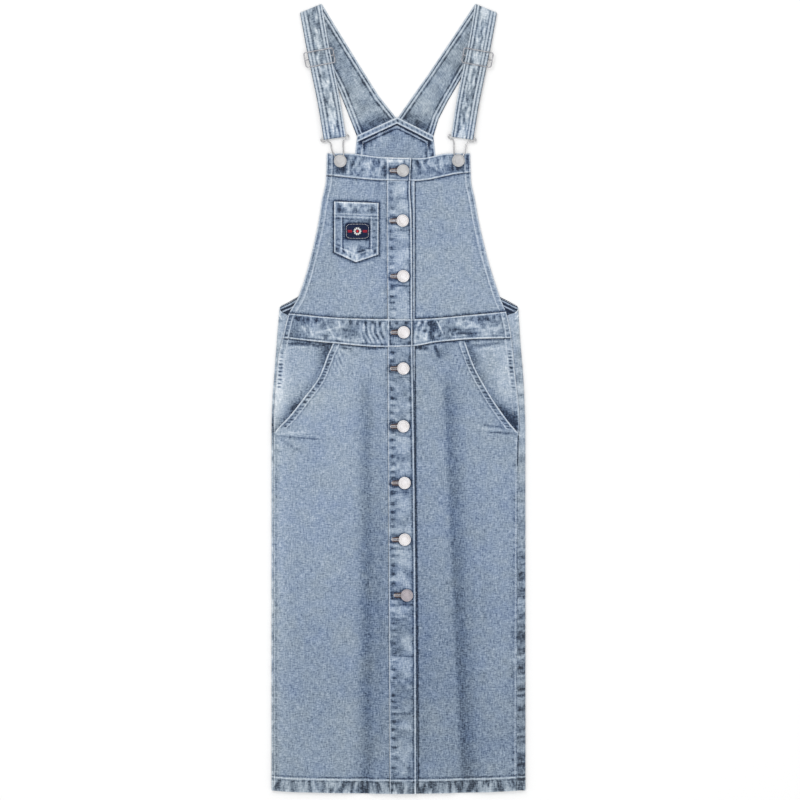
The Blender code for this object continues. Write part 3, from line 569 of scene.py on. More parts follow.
FLOOR_PAINT = painted("floor_paint", (0.8, 0.8, 0.8), (0.808, 0.808, 0.808), 0.9, 0.8, specular=0.0)


# ---------------------------------------------------------------- puckers, edges, creases and shades
MILLIMETRES = 1000


def in_metres(lengths, table):
    """A table whose columns of lengths, numbered from 0, were written in millimetres."""
    return {name: [tuple(round(value / MILLIMETRES, 7) if column in lengths else value
                         for column, value in enumerate(row)) for row in rows]
            for name, rows in table.items()}


PUCKERS = in_metres((1, 2, 3), {
    # edge; pitch, reach and depth in mm; shade, seed, and for some the lean
    "waistband_left": [("top", 12, 13, 0.6, 0.7, 11, 0.25), ("bottom", 11, 11, 0.5, 0.62, 12, -0.4),
        ("left", 8, 9, 0.3, 0.45, 13), ("right", 11, 10, 0.3, 0.3, 14)],
    "waistband_right": [("top", 12, 16, 0.6, 0.62, 21, -0.25), ("bottom", 11, 14, 0.5, 0.5, 22, 0.4),
        ("right", 8, 9, 0.3, 0.45, 23)],
    "bib_band_left": [("top", 10.5, 15, 0.5, 0.65, 31, 0.2), ("bottom", 10, 11, 0.4, 0.5, 32, -0.3),
        ("left", 8, 9, 0.3, 0.45, 33)],
    "bib_band_right": [("top", 10.5, 15, 0.5, 0.65, 41, -0.2), ("bottom", 10, 11, 0.4, 0.5, 42, 0.3),
        ("right", 8, 9, 0.3, 0.45, 43)],
    "bib_front_left": [("top", 13, 10, 0.3, 0.22, 51), ("left", 9, 8, 0.3, 0.3, 52),
        ("bottom", 13, 9, 0.3, 0.22, 53), ("right", 11, 5, 0.2, 0.18, 54)],
    "bib_front_right": [("top", 13, 10, 0.3, 0.22, 61), ("right", 9, 8, 0.3, 0.3, 62),
        ("bottom", 13, 9, 0.3, 0.22, 63), ("left", 11, 5, 0.2, 0.12, 64)],
    "skirt_front_left": [("top", 14, 12, 0.4, 0.38, 71), ("left", 9, 10, 0.4, 0.36, 72, 0.5),
        ("right", 11, 6, 0.3, 0.2, 73)],
    "skirt_front_right": [("top", 14, 12, 0.4, 0.38, 81), ("right", 9, 10, 0.4, 0.36, 82, 0.5),
        ("left", 11, 4, 0.2, 0.12, 83)],
    "hip_panel_left": [("left", 9.5, 8, 0.4, 0.4, 91), ("top", 13, 8, 0.4, 0.3, 92)],
    "hip_panel_right": [("right", 9.5, 8, 0.4, 0.4, 95), ("top", 13, 8, 0.4, 0.3, 96)],
    "skirt_placket_top": [("left", 14, 11, 0.4, 0.5, 101), ("right", 18, 9, 0.3, 0.35, 102)],
    "bib_placket_top": [("left", 14, 11, 0.4, 0.5, 111), ("right", 18, 9, 0.3, 0.35, 112)],
    "skirt_placket_under": [("right", 14, 4, 0.2, 0.35, 121)],
    "bib_placket_under": [("right", 14, 4, 0.2, 0.35, 122)],
    "chest_pocket": [("left", 11, 9, 0.3, 0.35, 131), ("right", 11, 9, 0.3, 0.35, 132),
        ("top", 12, 11, 0.3, 0.5, 133), ("bottom", 9.5, 13, 0.4, 0.85, 134)],
})
# Rows with a negative shade are dark lines beside seams and raised edges: partly painted shadow, partly
# indigo that wear left; positive ones are worn pale lines
LINES = in_metres((1, 2, 4, 5), {
    # edge; distance from it and width in mm; shade; for some the span in mm
    "waistband_left": [("top", 1, 1.3, 0.7), ("bottom", 1.2, 1.3, 0.78), ("bottom", 3.8, 1.4, -0.8),
        ("left", 0.8, 1.2, 0.49), ("left", 9.2, 1.2, 0.45), ("left", 3, 1, -0.52),
        ("left", 11.5, 1.3, -0.6), ("right", 0.8, 1, 0.66), ("right", 2.8, 1, -0.75),
        ("top", 3.4, 1.2, -0.45)],
    "waistband_right": [("top", 1, 1.3, 0.66), ("bottom", 1.2, 1.3, 0.74), ("bottom", 3.8, 1.3, -0.52),
        ("right", 0.8, 1.2, 0.49), ("right", 9.2, 1.2, 0.45), ("right", 3, 1, -0.52),
        ("right", 11.5, 1.3, -0.6), ("top", 3.4, 1.2, -0.45)],
    "bib_band_left": [("top", 0.9, 1.4, 0.74), ("top", 3.4, 1.2, -0.52), ("bottom", 1.2, 1.3, 0.66),
        ("bottom", 3.6, 1.2, -0.45), ("left", 0.8, 1.2, 0.25), ("left", 3.2, 1.1, -0.83),
        ("left", 9.2, 1.2, 0.37), ("left", 11.6, 1.3, -0.75), ("right", 0.8, 1, 0.61),
        ("right", 2.8, 1, -0.75)],
    "bib_band_right": [("top", 0.9, 1.4, 0.7), ("top", 3.4, 1.2, -0.52), ("bottom", 1.2, 1.3, 0.66),
        ("bottom", 3.6, 1.2, -0.45), ("right", 0.8, 1.2, 0.25), ("right", 3.2, 1.1, -0.83),
        ("right", 9.2, 1.2, 0.37), ("right", 11.6, 1.3, -0.75)],
    "bib_front_left": [("left", 0.8, 1.2, 0.45), ("left", 3.2, 1, -0.45), ("left", 9.2, 1.2, 0.51),
        ("left", 11.6, 1.3, -0.3), ("top", 1, 1.6, -0.83), ("right", 3, 1.2, -0.33),
        ("bottom", 1.2, 2.2, -0.75)],
    "bib_front_right": [("right", 0.8, 1.2, 0.45), ("right", 3.2, 1, -0.45), ("right", 9.2, 1.2, 0.51),
        ("right", 11.6, 1.3, -0.3), ("top", 1, 1.6, -0.83), ("left", 0.8, 1, -1.0),
        ("bottom", 1.2, 2.2, -0.9)],
    "skirt_front_left": [("top", 1, 2.2, -1.0), ("right", 3, 1.2, -0.33), ("left", 1.2, 1.3, 0.8, -56, 95),
        ("left", 3.6, 1.2, -0.6, -50, 95), ("left", 10, 1.2, 0.37, -50, 95),
        ("left", 12.2, 1.3, -0.42, -50, 95), ("left", 1, 1.4, 0.29, -671, -62),
        ("left", 3.4, 1.2, -0.3, -671, -62)],
    "skirt_front_right": [("top", 1, 2.2, -1.0), ("left", 0.8, 1, -1.0), ("right", 1.2, 1.3, 0.78, -58, 95),
        ("right", 3.6, 1.2, -0.6, -52, 95), ("right", 10, 1.2, 0.37, -52, 95),
        ("right", 12.2, 1.3, -0.42, -52, 95), ("right", 1.2, 1.2, -1.0, -112, -63),
        ("right", 3.4, 1.3, 0.2, -671, -66)],
    "hip_panel_left": [("top", 1, 2.2, -1.0), ("left", 1, 1.2, 0.6), ("left", 10.8, 1.2, 0.5, 12, 100)],
    "hip_panel_right": [("top", 1, 2.6, -0.9), ("right", 1, 1.2, 0.5), ("right", 10.8, 1.2, 0.42, 12, 100)],
    "skirt_placket_top": [("left", 0.6, 1, 0.7), ("left", 2.6, 1, -0.25), ("right", 1.6, 1, 0.6),
        ("right", 4.4, 1.3, -0.85)],
    "bib_placket_top": [("left", 0.6, 1, 0.7), ("left", 2.6, 1, -0.25), ("right", 1.2, 1, 0.65),
        ("right", 3.8, 1.2, -1.0)],
    "skirt_placket_under": [("right", 1.1, 1, 0.4, 30, 90)],
    "bib_placket_under": [("right", 1.1, 1, 0.45)],
    "chest_pocket": [("left", 1, 1.2, 0.66), ("right", 1, 1.2, 0.66), ("top", 1, 1.3, 0.66),
        ("bottom", 1.4, 1.2, 0.66), ("left", 3.2, 1.1, -0.45), ("right", 3.2, 1.1, -0.45),
        ("left", 12.5, 1.1, 0.45, 250, 309), ("right", 12.5, 1.1, 0.45, 250, 309),
        ("left", 14.8, 1.3, -1.0, 250, 309), ("right", 14.8, 1.3, -1.0, 250, 309)],
})
RUNGS = in_metres((1, 2, 3, 6, 7), {
    # edge; distance from it, half width, pitch in mm; shade, seed; for some the span in mm
    "waistband_left": [("top", 6.6, 4.4, 14.2, -1.2, 151), ("left", 5.8, 2.6, 7.5, -0.9, 152)],
    "waistband_right": [("top", 6.6, 4.4, 13.5, -1.1, 153), ("right", 5.8, 2.6, 7.5, -0.9, 154)],
    "bib_band_left": [("top", 7.5, 5, 11, -0.9, 155), ("left", 6, 2.6, 8.5, -0.8, 156)],
    "bib_band_right": [("top", 7.5, 5, 10.5, -0.9, 157), ("right", 6, 2.6, 8.5, -0.8, 158)],
    "bib_front_left": [("left", 6, 2, 8.5, -0.45, 159)],
    "bib_front_right": [("right", 6, 2, 8.5, -0.45, 160)],
    "skirt_front_left": [("left", 6.2, 3.6, 6, -2.4, 161, -48, 80),
        ("left", 4.5, 3, 11, -0.4, 162, -660, -66)],
    "skirt_front_right": [("right", 6.2, 3.6, 6, -2.3, 163, -50, 80),
        ("right", 5, 3.4, 11, -0.7, 164, -660, -160)],
    "hip_panel_left": [("left", 5.8, 3.8, 6.4, -2.6, 165, 15, 88)],
    "hip_panel_right": [("right", 6.2, 3.8, 6.4, -2.6, 166, 15, 85),
        ("right", 6.2, 3.4, 8.5, -0.6, 166, -60, 15)],
    "skirt_placket_top": [("left", 7.2, 6.4, 13.5, -1.05, 167), ("right", 5.8, 2.4, 23, -0.5, 168)],
    "bib_placket_top": [("left", 7.2, 6.4, 13.5, -1.05, 169), ("right", 5.8, 2.4, 23, -0.4, 170)],
    "chest_pocket": [("left", 6.8, 3, 12, -0.65, 171), ("right", 6.8, 3, 12, -0.75, 172),
        ("bottom", 6.8, 3.6, 10.5, -1.15, 173), ("top", 5.8, 3, 20, -0.8, 174)],
})
RIPPLES = in_metres((0, 1, 2, 3, 4, 7), {
    # x, y, reach across and along, pitch in mm; lean, shade; depth in mm; seed
    "waistband_left": [(-42, 113, 22, 26, 7.8, 0.18, 0.48, 0.5, 181)],
    "waistband_right": [(40, 118, 16, 24, 9.5, -0.15, 0.35, 0.4, 184)],
    "skirt_front_left": [(-103, 66, 14, 26, 7.5, 0.35, 0.2, 0.2, 187)],
    "skirt_front_right": [(110, 62, 14, 26, 7.5, -0.35, 0.2, 0.2, 188)],
})
CRUMPLES = in_metres((0, 1, 2, 3, 4, 5, 7), {
    # x, y, reach and size across and along in mm; shade; depth in mm; seed
    "waistband_left": [(-92, 116, 95, 22, 8, 11, 0.26, 0.3, 191)],
    "waistband_right": [(100, 116, 85, 20, 12, 8.5, 0.42, 0.4, 192),
        (58, 118, 20, 20, 5, 9, 0.4, 0.3, 199)],
    "bib_band_left": [(-60, 391, 52, 16, 6.2, 10, 0.42, 0.3, 193)],
    "bib_band_right": [(68, 391, 44, 16, 6.2, 10, 0.42, 0.3, 194)],
    "chest_pocket": [(-71, 245, 36, 14, 9, 8, 0.55, 0.3, 195), (-71, 325, 40, 10, 9, 10, 0.45, 0.3, 196)],
    "bib_placket_top": [(0, 270, 25, 110, 16, 13, 0.22, 0.2, 197)],
    "skirt_placket_top": [(5, -280, 25, 370, 17, 14, 0.26, 0.2, 198)],
})
# A negative shade darkens a crease's hollow with painted shade; a positive one is its ridge worn pale
CREASES = in_metres((0, 1, 2, 3, 4, 5), {
    # x and y of one end and of the other, width and depth in mm; shade
    "waistband_left": [(-102, 133, -96, 108, 1.3, 0.4, 0.4), (-155, 127, -145, 105, 1.3, 0.4, 0.5),
        (-164, 123, -150, 101, 1.2, 0.3, 0.4), (-104, 117, -68, 115, 2, -0.3, -0.35),
        (-140, 112, -100, 122, 1.4, 0.3, 0.45), (-133, 108, -108, 106, 1.6, -0.3, -0.55),
        (-124, 128, -108, 102, 1.4, 0.4, 0.4), (-118, 108, -90, 99, 2, 0.3, 0.35),
        (-90, 96, -60, 94, 2.2, 0.3, 0.4)],
    "waistband_right": [(64, 135, 78, 105, 1.2, 0.4, 0.95), (70, 134, 60, 102, 1.2, 0.4, 0.7),
        (56, 140, 59, 93, 2.8, -0.4, -0.9), (68, 133, 64, 108, 1.6, -0.3, -0.8),
        (85, 99, 160, 105, 1.8, 0.3, 0.6), (90, 116, 140, 119, 1.8, 0.3, -0.6),
        (100, 109, 150, 113, 1.8, 0.3, -0.45)],
    "skirt_front_left": [(-205, -64, -133, -69, 1.4, -0.3, -0.7), (-205, -61, -150, -56, 1.6, 0.3, 0.4),
        (-200, -70, -165, -90, 2.2, 0.3, -0.4), (-102, 89, -76, 83, 1.4, -0.3, -0.9),
        (-99, 83, -80, 73, 1.4, 0.3, 0.35), (-56, 84, -34, 84, 1.6, -0.3, -0.5)],
    "skirt_front_right": [(155, -56, 196, -60, 1.4, -0.3, -0.75), (145, -44, 180, -50, 1.4, -0.3, -0.6),
        (140, -50, 175, -55, 1.6, 0.3, 0.4), (30, 86, 52, 84, 2, -0.3, -0.9),
        (30, 80, 52, 77, 1.6, 0.3, 0.4), (62, 90, 70, 70, 2.5, -0.3, -0.6),
        (196.5, -113, 204, -113, 1.1, -0.3, -1.0)],
    "hip_panel_left": [(-195, 95, -125, 90, 2.4, -0.2, -0.8), (-190, 86, -150, 90, 1.6, 0.3, 0.5)],
    "hip_panel_right": [(125, 90, 185, 95, 2.2, -0.2, -0.6), (130, 82, 175, 87, 1.8, 0.3, 0.35)],
    "skirt_placket_top": [(-12, -435, 20, -437, 2, -0.3, -0.7), (-12, -536, 20, -534, 2, -0.3, -0.6),
        (-12, -375, 20, -373, 1.8, -0.3, -0.5), (-15, -646, 22, -647, 2, -0.3, -0.6)],
    "bib_placket_top": [(-15, 193, 18, 190, 1.8, -0.3, -0.5), (-15, 342, 18, 340, 1.8, -0.3, -0.4)],
})
# Some dark patches are painted shade, such as those beside the slanted pocket edges and under the bands'
# edges; the rest are tone that differs
PATCHES = in_metres((0, 1, 2, 3), {
    # x, y, reach across and along in mm; shade
    "waistband_left": [(-160, 136, 9, 6, -0.4), (-90, 99, 24, 5, 0.25), (-100, 124, 32, 8, 0.15),
        (-62, 133, 6, 6, -0.6), (-175, 115, 8, 14, -0.25)],
    "waistband_right": [(62, 122, 10, 16, -0.4), (74, 101, 18, 4.5, -0.55), (30, 98, 12, 6, 0.4),
        (145, 134, 16, 7, -0.6), (105, 128, 20, 6, 0.25), (90, 115, 16, 12, -0.45)],
    "bib_band_left": [(-2, 406.8, 24, 4.6, 1.5), (-98, 388, 9, 8, -0.7), (-16, 400, 4, 5, 0.35),
        (-23, 390, 2.2, 16, -0.6), (-76, 402, 3, 6, -0.6), (-67, 399, 2.6, 7, -0.5),
        (-90, 399, 20, 11, -0.15)],
    "bib_band_right": [(100, 390, 11, 8, -0.5), (33, 390, 4, 14, -0.4), (95, 399, 20, 11, -0.15)],
    "bib_front_left": [(-32, 356, 6, 10, -0.2)],
    "skirt_front_left": [(-165, 20, 30, 50, 0.1), (-34, -330, 16, 340, -0.26), (-204, -350, 15, 320, 0.14)],
    "skirt_front_right": [(70, 78, 10, 10, -0.4), (42, -450, 15, 220, -0.08), (175, -350, 25, 250, 0.08)],
    "hip_panel_left": [(-206, 25, 15, 60, 0.6), (-175, 92, 25, 7, -0.25), (-127, 86, 14, 11, -0.35),
        (-170, -17, 12, 11, -0.8), (-199, 96, 4.5, 5, -0.9)],
    "hip_panel_right": [(182, 45, 15, 45, 0.25), (195, -38, 9, 16, -0.95), (178, -20, 12, 12, -0.35)],
    "chest_pocket": [(-101, 323, 3.4, 9, -0.8), (-45, 324, 3.4, 9, -0.8), (-71, 317, 30, 5, -0.3)],
    "skirt_placket_top": [(4, -480, 20, 150, -0.15), (19, -630, 4, 25, -0.5)],
})
BASE_SHADE = {
    "waistband_left": -0.24, "waistband_right": -0.12, "bib_band_left": -0.16, "bib_band_right": -0.18,
    "chest_pocket": -0.23, "hip_panel_left": 0.03, "bib_front_left": -0.08, "bib_front_right": -0.08,
    "skirt_front_left": -0.03, "skirt_front_right": -0.13,
}
CLOTH_WAVES, RUNG_DEPTH = 0.00012, 0.0003   # depth of the cloth's low waves, and of a dash
CLOUDS_WASH = 0.035
SPAN_SOFT = 0.001                           # how far a span's end is soft to either side
CREASE_WANDER, CREASE_WAVE = 0.0009, 0.012  # how far a crease strays, and over what length
PLACKET_BANDS = ("waistband_left", "bib_band_left")     # the top placket's seam runs on over these


def along_of(panel, edge):
    return panel.x if edge in ("top", "bottom") else panel.y


def spanned(panel, edge, span):
    """1 inside the span along an edge, or everywhere where there is none."""
    if not span:
        return 1.0
    along, (start, end) = along_of(panel, edge), span
    begun = smooth_step(along, start - SPAN_SOFT, start + SPAN_SOFT)
    return begun * (1 - smooth_step(along, end - SPAN_SOFT, end + SPAN_SOFT))


def crease(panel, x0, y0, x1, y1, width):
    """1 along a soft line between two points, fading to either side and at its ends."""
    length = math.hypot(x1 - x0, y1 - y0)
    share = ((panel.x - x0) * (x1 - x0) + (panel.y - y0) * (y1 - y0)) / length ** 2
    away = ((panel.x - x0) * (y1 - y0) - (panel.y - y0) * (x1 - x0)) / length
    away = away + CREASE_WANDER * lattice(share * length / CREASE_WAVE, 0 * away, int(1e4 * abs(x0 + y1)))
    ends = smooth_step(share, -0.12, 0.12) * (1 - smooth_step(share, 0.8, 1.12))
    return np.exp(-(away / width) ** 2) * ends


def crumpled(panel, x, y, across, along, size_x, size_y, seed):
    """Short uneven streaks that lean both ways: from -1 to 1."""
    u = panel.x / size_x + 0.7 * lattice(panel.y / size_y, panel.x / (2.0 * size_x), seed + 4)
    v = panel.y / size_y + 0.6 * lattice(panel.x / (1.5 * size_x), panel.y / (3 * size_y), seed + 6)
    streaks = 0.75 * lattice(u, v, seed) + 0.55 * lattice(2.3 * u, 1.7 * v, seed + 2)
    return np.tanh(2.8 * streaks) * window(panel, x, y, across, along, 6)


def rippled(panel, x, y, across, along, pitch, lean, seed):
    """Wavy lines, mostly upright, round a point: from -1 to 1."""
    wobble = 0.5 * lattice((panel.y - y) / (2.5 * pitch), (panel.x - x) / (4 * pitch), seed)
    waves = np.sin(2 * math.pi * ((panel.x - x + lean * (panel.y - y)) / pitch + wobble))
    return window(panel, x, y, across, along, 4) * waves


def window(panel, x, y, across, along, power):
    """1 round a point, falling off past the reach across and along: the higher the power, the faster."""
    return np.exp(-((panel.x - x) / across) ** power - ((panel.y - y) / along) ** power)


def marks_of(name, panel):
    """Relief and wash of all the marks that the tables give a piece; their dark marks are partly painted
    shade.
    """
    height = CLOTH_WAVES * clouds(panel.x, panel.y, 0.03, 5)
    shade = BASE_SHADE.get(name, 0.0) + CLOUDS_WASH * clouds(panel.x, panel.y, 0.07, 9)
    for edge, pitch, reach, depth, strength, seed, *lean in PUCKERS.get(name, []):
        folds = puckers(along_of(panel, edge), panel.away(edge), pitch, reach, seed, *lean)
        height = height + depth * folds
        shade = shade + strength * folds
    for edge, distance, half, pitch, strength, seed, *span in RUNGS.get(name, []):
        dashes = rungs(along_of(panel, edge), pitch, seed) * bump(panel.away(edge), distance, half)
        inside = spanned(panel, edge, span)
        height = height - RUNG_DEPTH * dashes * inside
        shade = shade + strength * dashes * inside
    for x, y, across, along, pitch, lean, strength, depth, seed in RIPPLES.get(name, []):
        waves = rippled(panel, x, y, across, along, pitch, lean, seed)
        height = height + depth * waves
        shade = shade + strength * waves
    for x, y, across, along, size_x, size_y, strength, depth, seed in CRUMPLES.get(name, []):
        streaks = crumpled(panel, x, y, across, along, size_x, size_y, seed)
        height = height + depth * streaks
        shade = shade + strength * streaks
    for x0, y0, x1, y1, width, depth, strength in CREASES.get(name, []):
        fold = crease(panel, x0, y0, x1, y1, width)
        height = height + depth * fold
        shade = shade + strength * fold
    for x, y, across, along, strength in PATCHES.get(name, []):
        shade = shade + strength * window(panel, x, y, across, along, 2)
    for edge, distance, width, strength, *span in LINES.get(name, []):
        line = bump(panel.away(edge), distance, width) * spanned(panel, edge, span)
        shade = under_line(shade, line, strength)
    if name in PLACKET_BANDS:
        past = panel.x - curve(PLACKET_STITCH, panel.y)
        shade = under_line(shade - 0.4 * bump(past, 0.004, 0.0016), bump(past, 0.0014, 0.0011), 0.7)
    shade = shade + button_shade(name, panel) + groove_shade(name, panel)
    return height, np.clip(shade, -1, 1)


HOLE_MIDDLE, HOLE_HALF = 0.013, 0.007       # the shaded slit: its middle left of the button, half its length


def button_shade(name, panel):
    """Painted shade on the cloth close round each button, round its buttonhole's end and in the fold below
    it.
    """
    shade = 0
    for x, y in BUTTONS:
        if abs(y - panel.y).min() > 0.01 or "right" in name or "under" in name:
            continue
        ring = np.hypot(panel.x - x, panel.y - y)
        hole_x = np.maximum(np.abs(panel.x - x + HOLE_MIDDLE) - HOLE_HALF, 0)
        hole = np.hypot(hole_x, panel.y - y)
        shade = shade - 0.5 * bump(ring, 0.0112, 0.0016)
        shade = shade - 0.8 * bump(hole, 0.006, 0.0018) - 0.3 * bump(hole, 0.0, 0.004)
        shade = shade - 0.45 * crease(panel, x - 0.013, y - 0.015, x + 0.012, y - 0.0165, 0.0018)
    return shade


def groove_shade(name, panel):
    """Painted shadow on the right-hand pieces and the under plackets, where the placket's free edge lies over
    them.
    """
    if "right" not in name and "under" not in name:
        return 0
    past = panel.x - curve(PLACKET_FREE_EDGE, panel.y)
    return -1.25 * bump(past, 0.001, 0.0016)


def outline_shade(panel, corners, distance, width):
    """A line at some distance outside a closed outline."""
    corners = np.array(corners)
    nearest = np.full(panel.x.shape, 1.0)
    inside = np.ones(panel.x.shape, bool)
    for (x0, y0), (x1, y1) in zip(corners, np.roll(corners, -1, axis=0)):
        run = np.array([x1 - x0, y1 - y0])
        length = np.linalg.norm(run)
        share = np.clip(((panel.x - x0) * run[0] + (panel.y - y0) * run[1]) / length ** 2, 0, 1)
        away = np.hypot(panel.x - x0 - share * run[0], panel.y - y0 - share * run[1])
        nearest = np.minimum(nearest, away)
        inside &= ((panel.x - x0) * run[1] - (panel.y - y0) * run[0]) >= 0
    return np.where(inside, bump(nearest, 0.0, 0.004), bump(nearest, distance, width))


# The inner side takes this share of the painted shade as well as of the wear
INNER_WEAR = 0.4        # how much of the upper side's wear the inner side has
LEAST_CLOTH = 0.0002
PLACKET_THREAD, THREAD_END = 0.0016, 0.002      # how far past the placket's seam, and from a band's edges


def front(name, panel, thickness, lift, slot, flat, area=None, finish=None, more_relief=None, more_wash_and_shade=None,
          turned=False):
    """A dressed piece of the front layer under its solid's own name: its underside lies as its solid's
    does, its upper side has the relief, and its inner side is worn more evenly. lift is a function of x,
    more_relief and more_wash_and_shade are functions of a panel, and turned sets the cloth's grain across."""
    relief, wash_and_shade = marks_of(name, panel)
    if more_relief:
        relief = relief + more_relief(panel)
    if more_wash_and_shade:
        wash_and_shade = np.clip(wash_and_shade + more_wash_and_shade(panel), -1, 1)
    under = front_height(panel.x, panel.y) + lift(panel.x)
    height = under + thickness * panel.rounding() + relief
    outer = np.dstack([panel.x, panel.y, np.maximum(height, under + LEAST_CLOTH)])
    inner = np.dstack([panel.x, panel.y, under])
    grain = np.dstack([panel.y, panel.x] if turned else [panel.x, panel.y])
    made = shell(name + "_cloth", name, outer, inner, wash_and_shade, grain, finish or DENIM,
                 inner_wash_and_shade=INNER_WEAR * wash_and_shade)
    lines = [edge_line(panel, edge, distance, span) for edge, distance, *span in THREADS[name]]
    if name in PLACKET_BANDS:
        y = np.linspace(panel.y.max(), panel.y.min(), 400)
        x = curve(PLACKET_STITCH, y) + PLACKET_THREAD
        inside = (y < panel.top(x) - THREAD_END) & (y > panel.bottom(x) + THREAD_END)
        lines.append((x[inside], y[inside]))
    thread = sew(name + "_thread", made, lines, THREAD)


def steady(value=0.0):
    """A curve that has one value everywhere."""
    return lambda at: np.full_like(at, value)


# ---------------------------------------------------------------- stitching
STITCH_PITCH, STITCH_SIZE = 0.0031, (0.0027, 0.0008, 0.0005)        # and its length, width and height
STITCH_RISE = 0.15      # of its height, by which a stitch's middle stands over the cloth
SEWN_ENDS = [("top", 1.4), ("bottom", 1.4)]
SEWN_LEFT = [("left", 1.4), ("left", 9.2)]
SEWN_RIGHT = [("right", 1.4), ("right", 9.2)]
THREADS = in_metres((1, 2, 3), {
    # edge; distance from it in mm; for some the span in mm
    "waistband_left": [*SEWN_ENDS, *SEWN_LEFT, ("right", 1.4)],
    "waistband_right": [*SEWN_ENDS, *SEWN_RIGHT],
    "bib_band_left": [*SEWN_ENDS, *SEWN_LEFT, ("right", 1.4)],
    "bib_band_right": [*SEWN_ENDS, *SEWN_RIGHT],
    "bib_front_left": SEWN_LEFT,
    "bib_front_right": SEWN_RIGHT,
    "skirt_front_left": [("left", 1.4, -54, 94), ("left", 10, -48, 94), ("bottom", 23)],
    "skirt_front_right": [("right", 1.4, -56, 96), ("right", 10, -50, 96), ("right", 3.6, -640, -66),
        ("bottom", 23)],
    "hip_panel_left": [("left", 1.2), ("left", 10.8, 45, 105)],
    "hip_panel_right": [("right", 1.2), ("right", 10.8, -30, 105)],
    "skirt_placket_top": [("left", 0.9), ("right", 1.6), ("bottom", 23)],
    "bib_placket_top": [("left", 0.9), ("right", 1.3)],
    "skirt_placket_under": [("right", 1.2, 30, 92)],
    "bib_placket_under": [("right", 1.2)],
    "chest_pocket": [("left", 1.4), ("right", 1.4), ("bottom", 1.6), ("top", 20.5), ("top", 25.5),
        ("left", 12.5, 256, 308), ("right", 12.5, 256, 308), ("bottom", 12.5, -96.5, -46.5)],
})


def stitch_shape():
    """One stitch, a long low bead, as arrays of its points and faces."""
    bpy.ops.object.select_all(action="DESELECT")
    bpy.ops.mesh.primitive_uv_sphere_add(segments=6, ring_count=4, radius=0.5, location=(0, 0, 0),
                                         rotation=(0, math.pi / 2, 0))
    bpy.ops.object.transform_apply(rotation=True)
    bead = bpy.context.object
    points = np.array([tuple(point.co) for point in bead.data.vertices])
    faces = [tuple(face.vertices) for face in bead.data.polygons]
    data = bead.data
    bpy.data.objects.remove(bead)
    bpy.data.meshes.remove(data)
    return points, faces


BEAD_POINTS, BEAD_FACES = stitch_shape()


def beads(name, centres, tangents, normals, sizes, finish):
    """Many beads in one mesh, each one along its tangent."""
    along = tangents / np.linalg.norm(tangents, axis=1, keepdims=True)
    sideways = np.cross(normals, along)
    sideways /= np.linalg.norm(sideways, axis=1, keepdims=True)
    up = np.cross(along, sideways)
    scaled = BEAD_POINTS[None] * np.asarray(sizes).reshape(-1, 1, 3)
    points = (centres[:, None] + scaled[..., :1] * along[:, None] + scaled[..., 1:2] * sideways[:, None]
              + scaled[..., 2:] * up[:, None])
    faces = [tuple(corner + number * len(BEAD_POINTS) for corner in face)
             for number in range(len(centres)) for face in BEAD_FACES]
    mesh = bpy.data.meshes.new(name)
    mesh.from_pydata(points.reshape(-1, 3).tolist(), [], faces)
    mesh.shade_smooth()
    made = linked(name, mesh)
    mesh.materials.append(finish)
    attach(made, "root")
    return made


def surface_of(made):
    """A piece's faces, ready to be met by rays."""
    mesh = made.data
    points = [tuple(point.co) for point in mesh.vertices]
    return BVHTree.FromPolygons(points, [tuple(face.vertices) for face in mesh.polygons])


RAY_START = 0.05        # height above or below the floor, clear of all the cloth


def settle(surface, x, y, upwards=False):
    """Points and normals where vertical rays first meet a surface, and which of them do."""
    points, normals, kept = [], [], []
    facing = -1 if upwards else 1
    start, way = RAY_START * facing, Vector((0, 0, -facing))
    for place_x, place_y in zip(x, y):
        hit, normal, _, _ = surface.ray_cast(Vector((place_x, place_y, start)), way)
        kept.append(hit is not None)
        points.append(hit or Vector((0, 0, 0)))
        normals.append(normal or Vector((0, 0, 1)))
    points, normals = np.array(points), np.array(normals)
    flip = np.where(normals[:, 2] * facing < 0, -1, 1)
    return points, normals * flip[:, None], np.array(kept)


def evenly_along(x, y, pitch):
    """Points a pitch apart along a line, and the direction there."""
    run = along_run(x, y)
    place = np.arange(pitch / 2, run[-1] - pitch / 3, pitch)
    at, ahead, behind = (np.array([np.interp(place + shift, run, x), np.interp(place + shift, run, y)])
                         for shift in (0, 2e-4, -2e-4))
    return *at, np.column_stack([*(ahead - behind), 0 * place])


LINE_POINTS = 1500
LINE_CLEAR = 0.0006     # between a line of stitches and any edge of its panel


def edge_line(panel, edge, distance, span):
    """x and y of a line inside a panel, at a distance from one of its edges."""
    if edge in ("left", "right"):
        low, high = span or (panel.y.min(), panel.y.max())
        y = np.linspace(high, low, LINE_POINTS)
        side = getattr(panel, edge)
        away = distance / Panel.lean(side, y)
        x = side(y) + (away if edge == "left" else -away)
    else:
        low, high = span or (panel.x.min(), panel.x.max())
        x = np.linspace(low, high, LINE_POINTS)
        y = panel.top(x) - distance if edge == "top" else panel.bottom(x) + distance
    inside = ((x > panel.left(y) + LINE_CLEAR) & (x < panel.right(y) - LINE_CLEAR)
              & (y < panel.top(x) - LINE_CLEAR) & (y > panel.bottom(x) + LINE_CLEAR))
    return x[inside], y[inside]


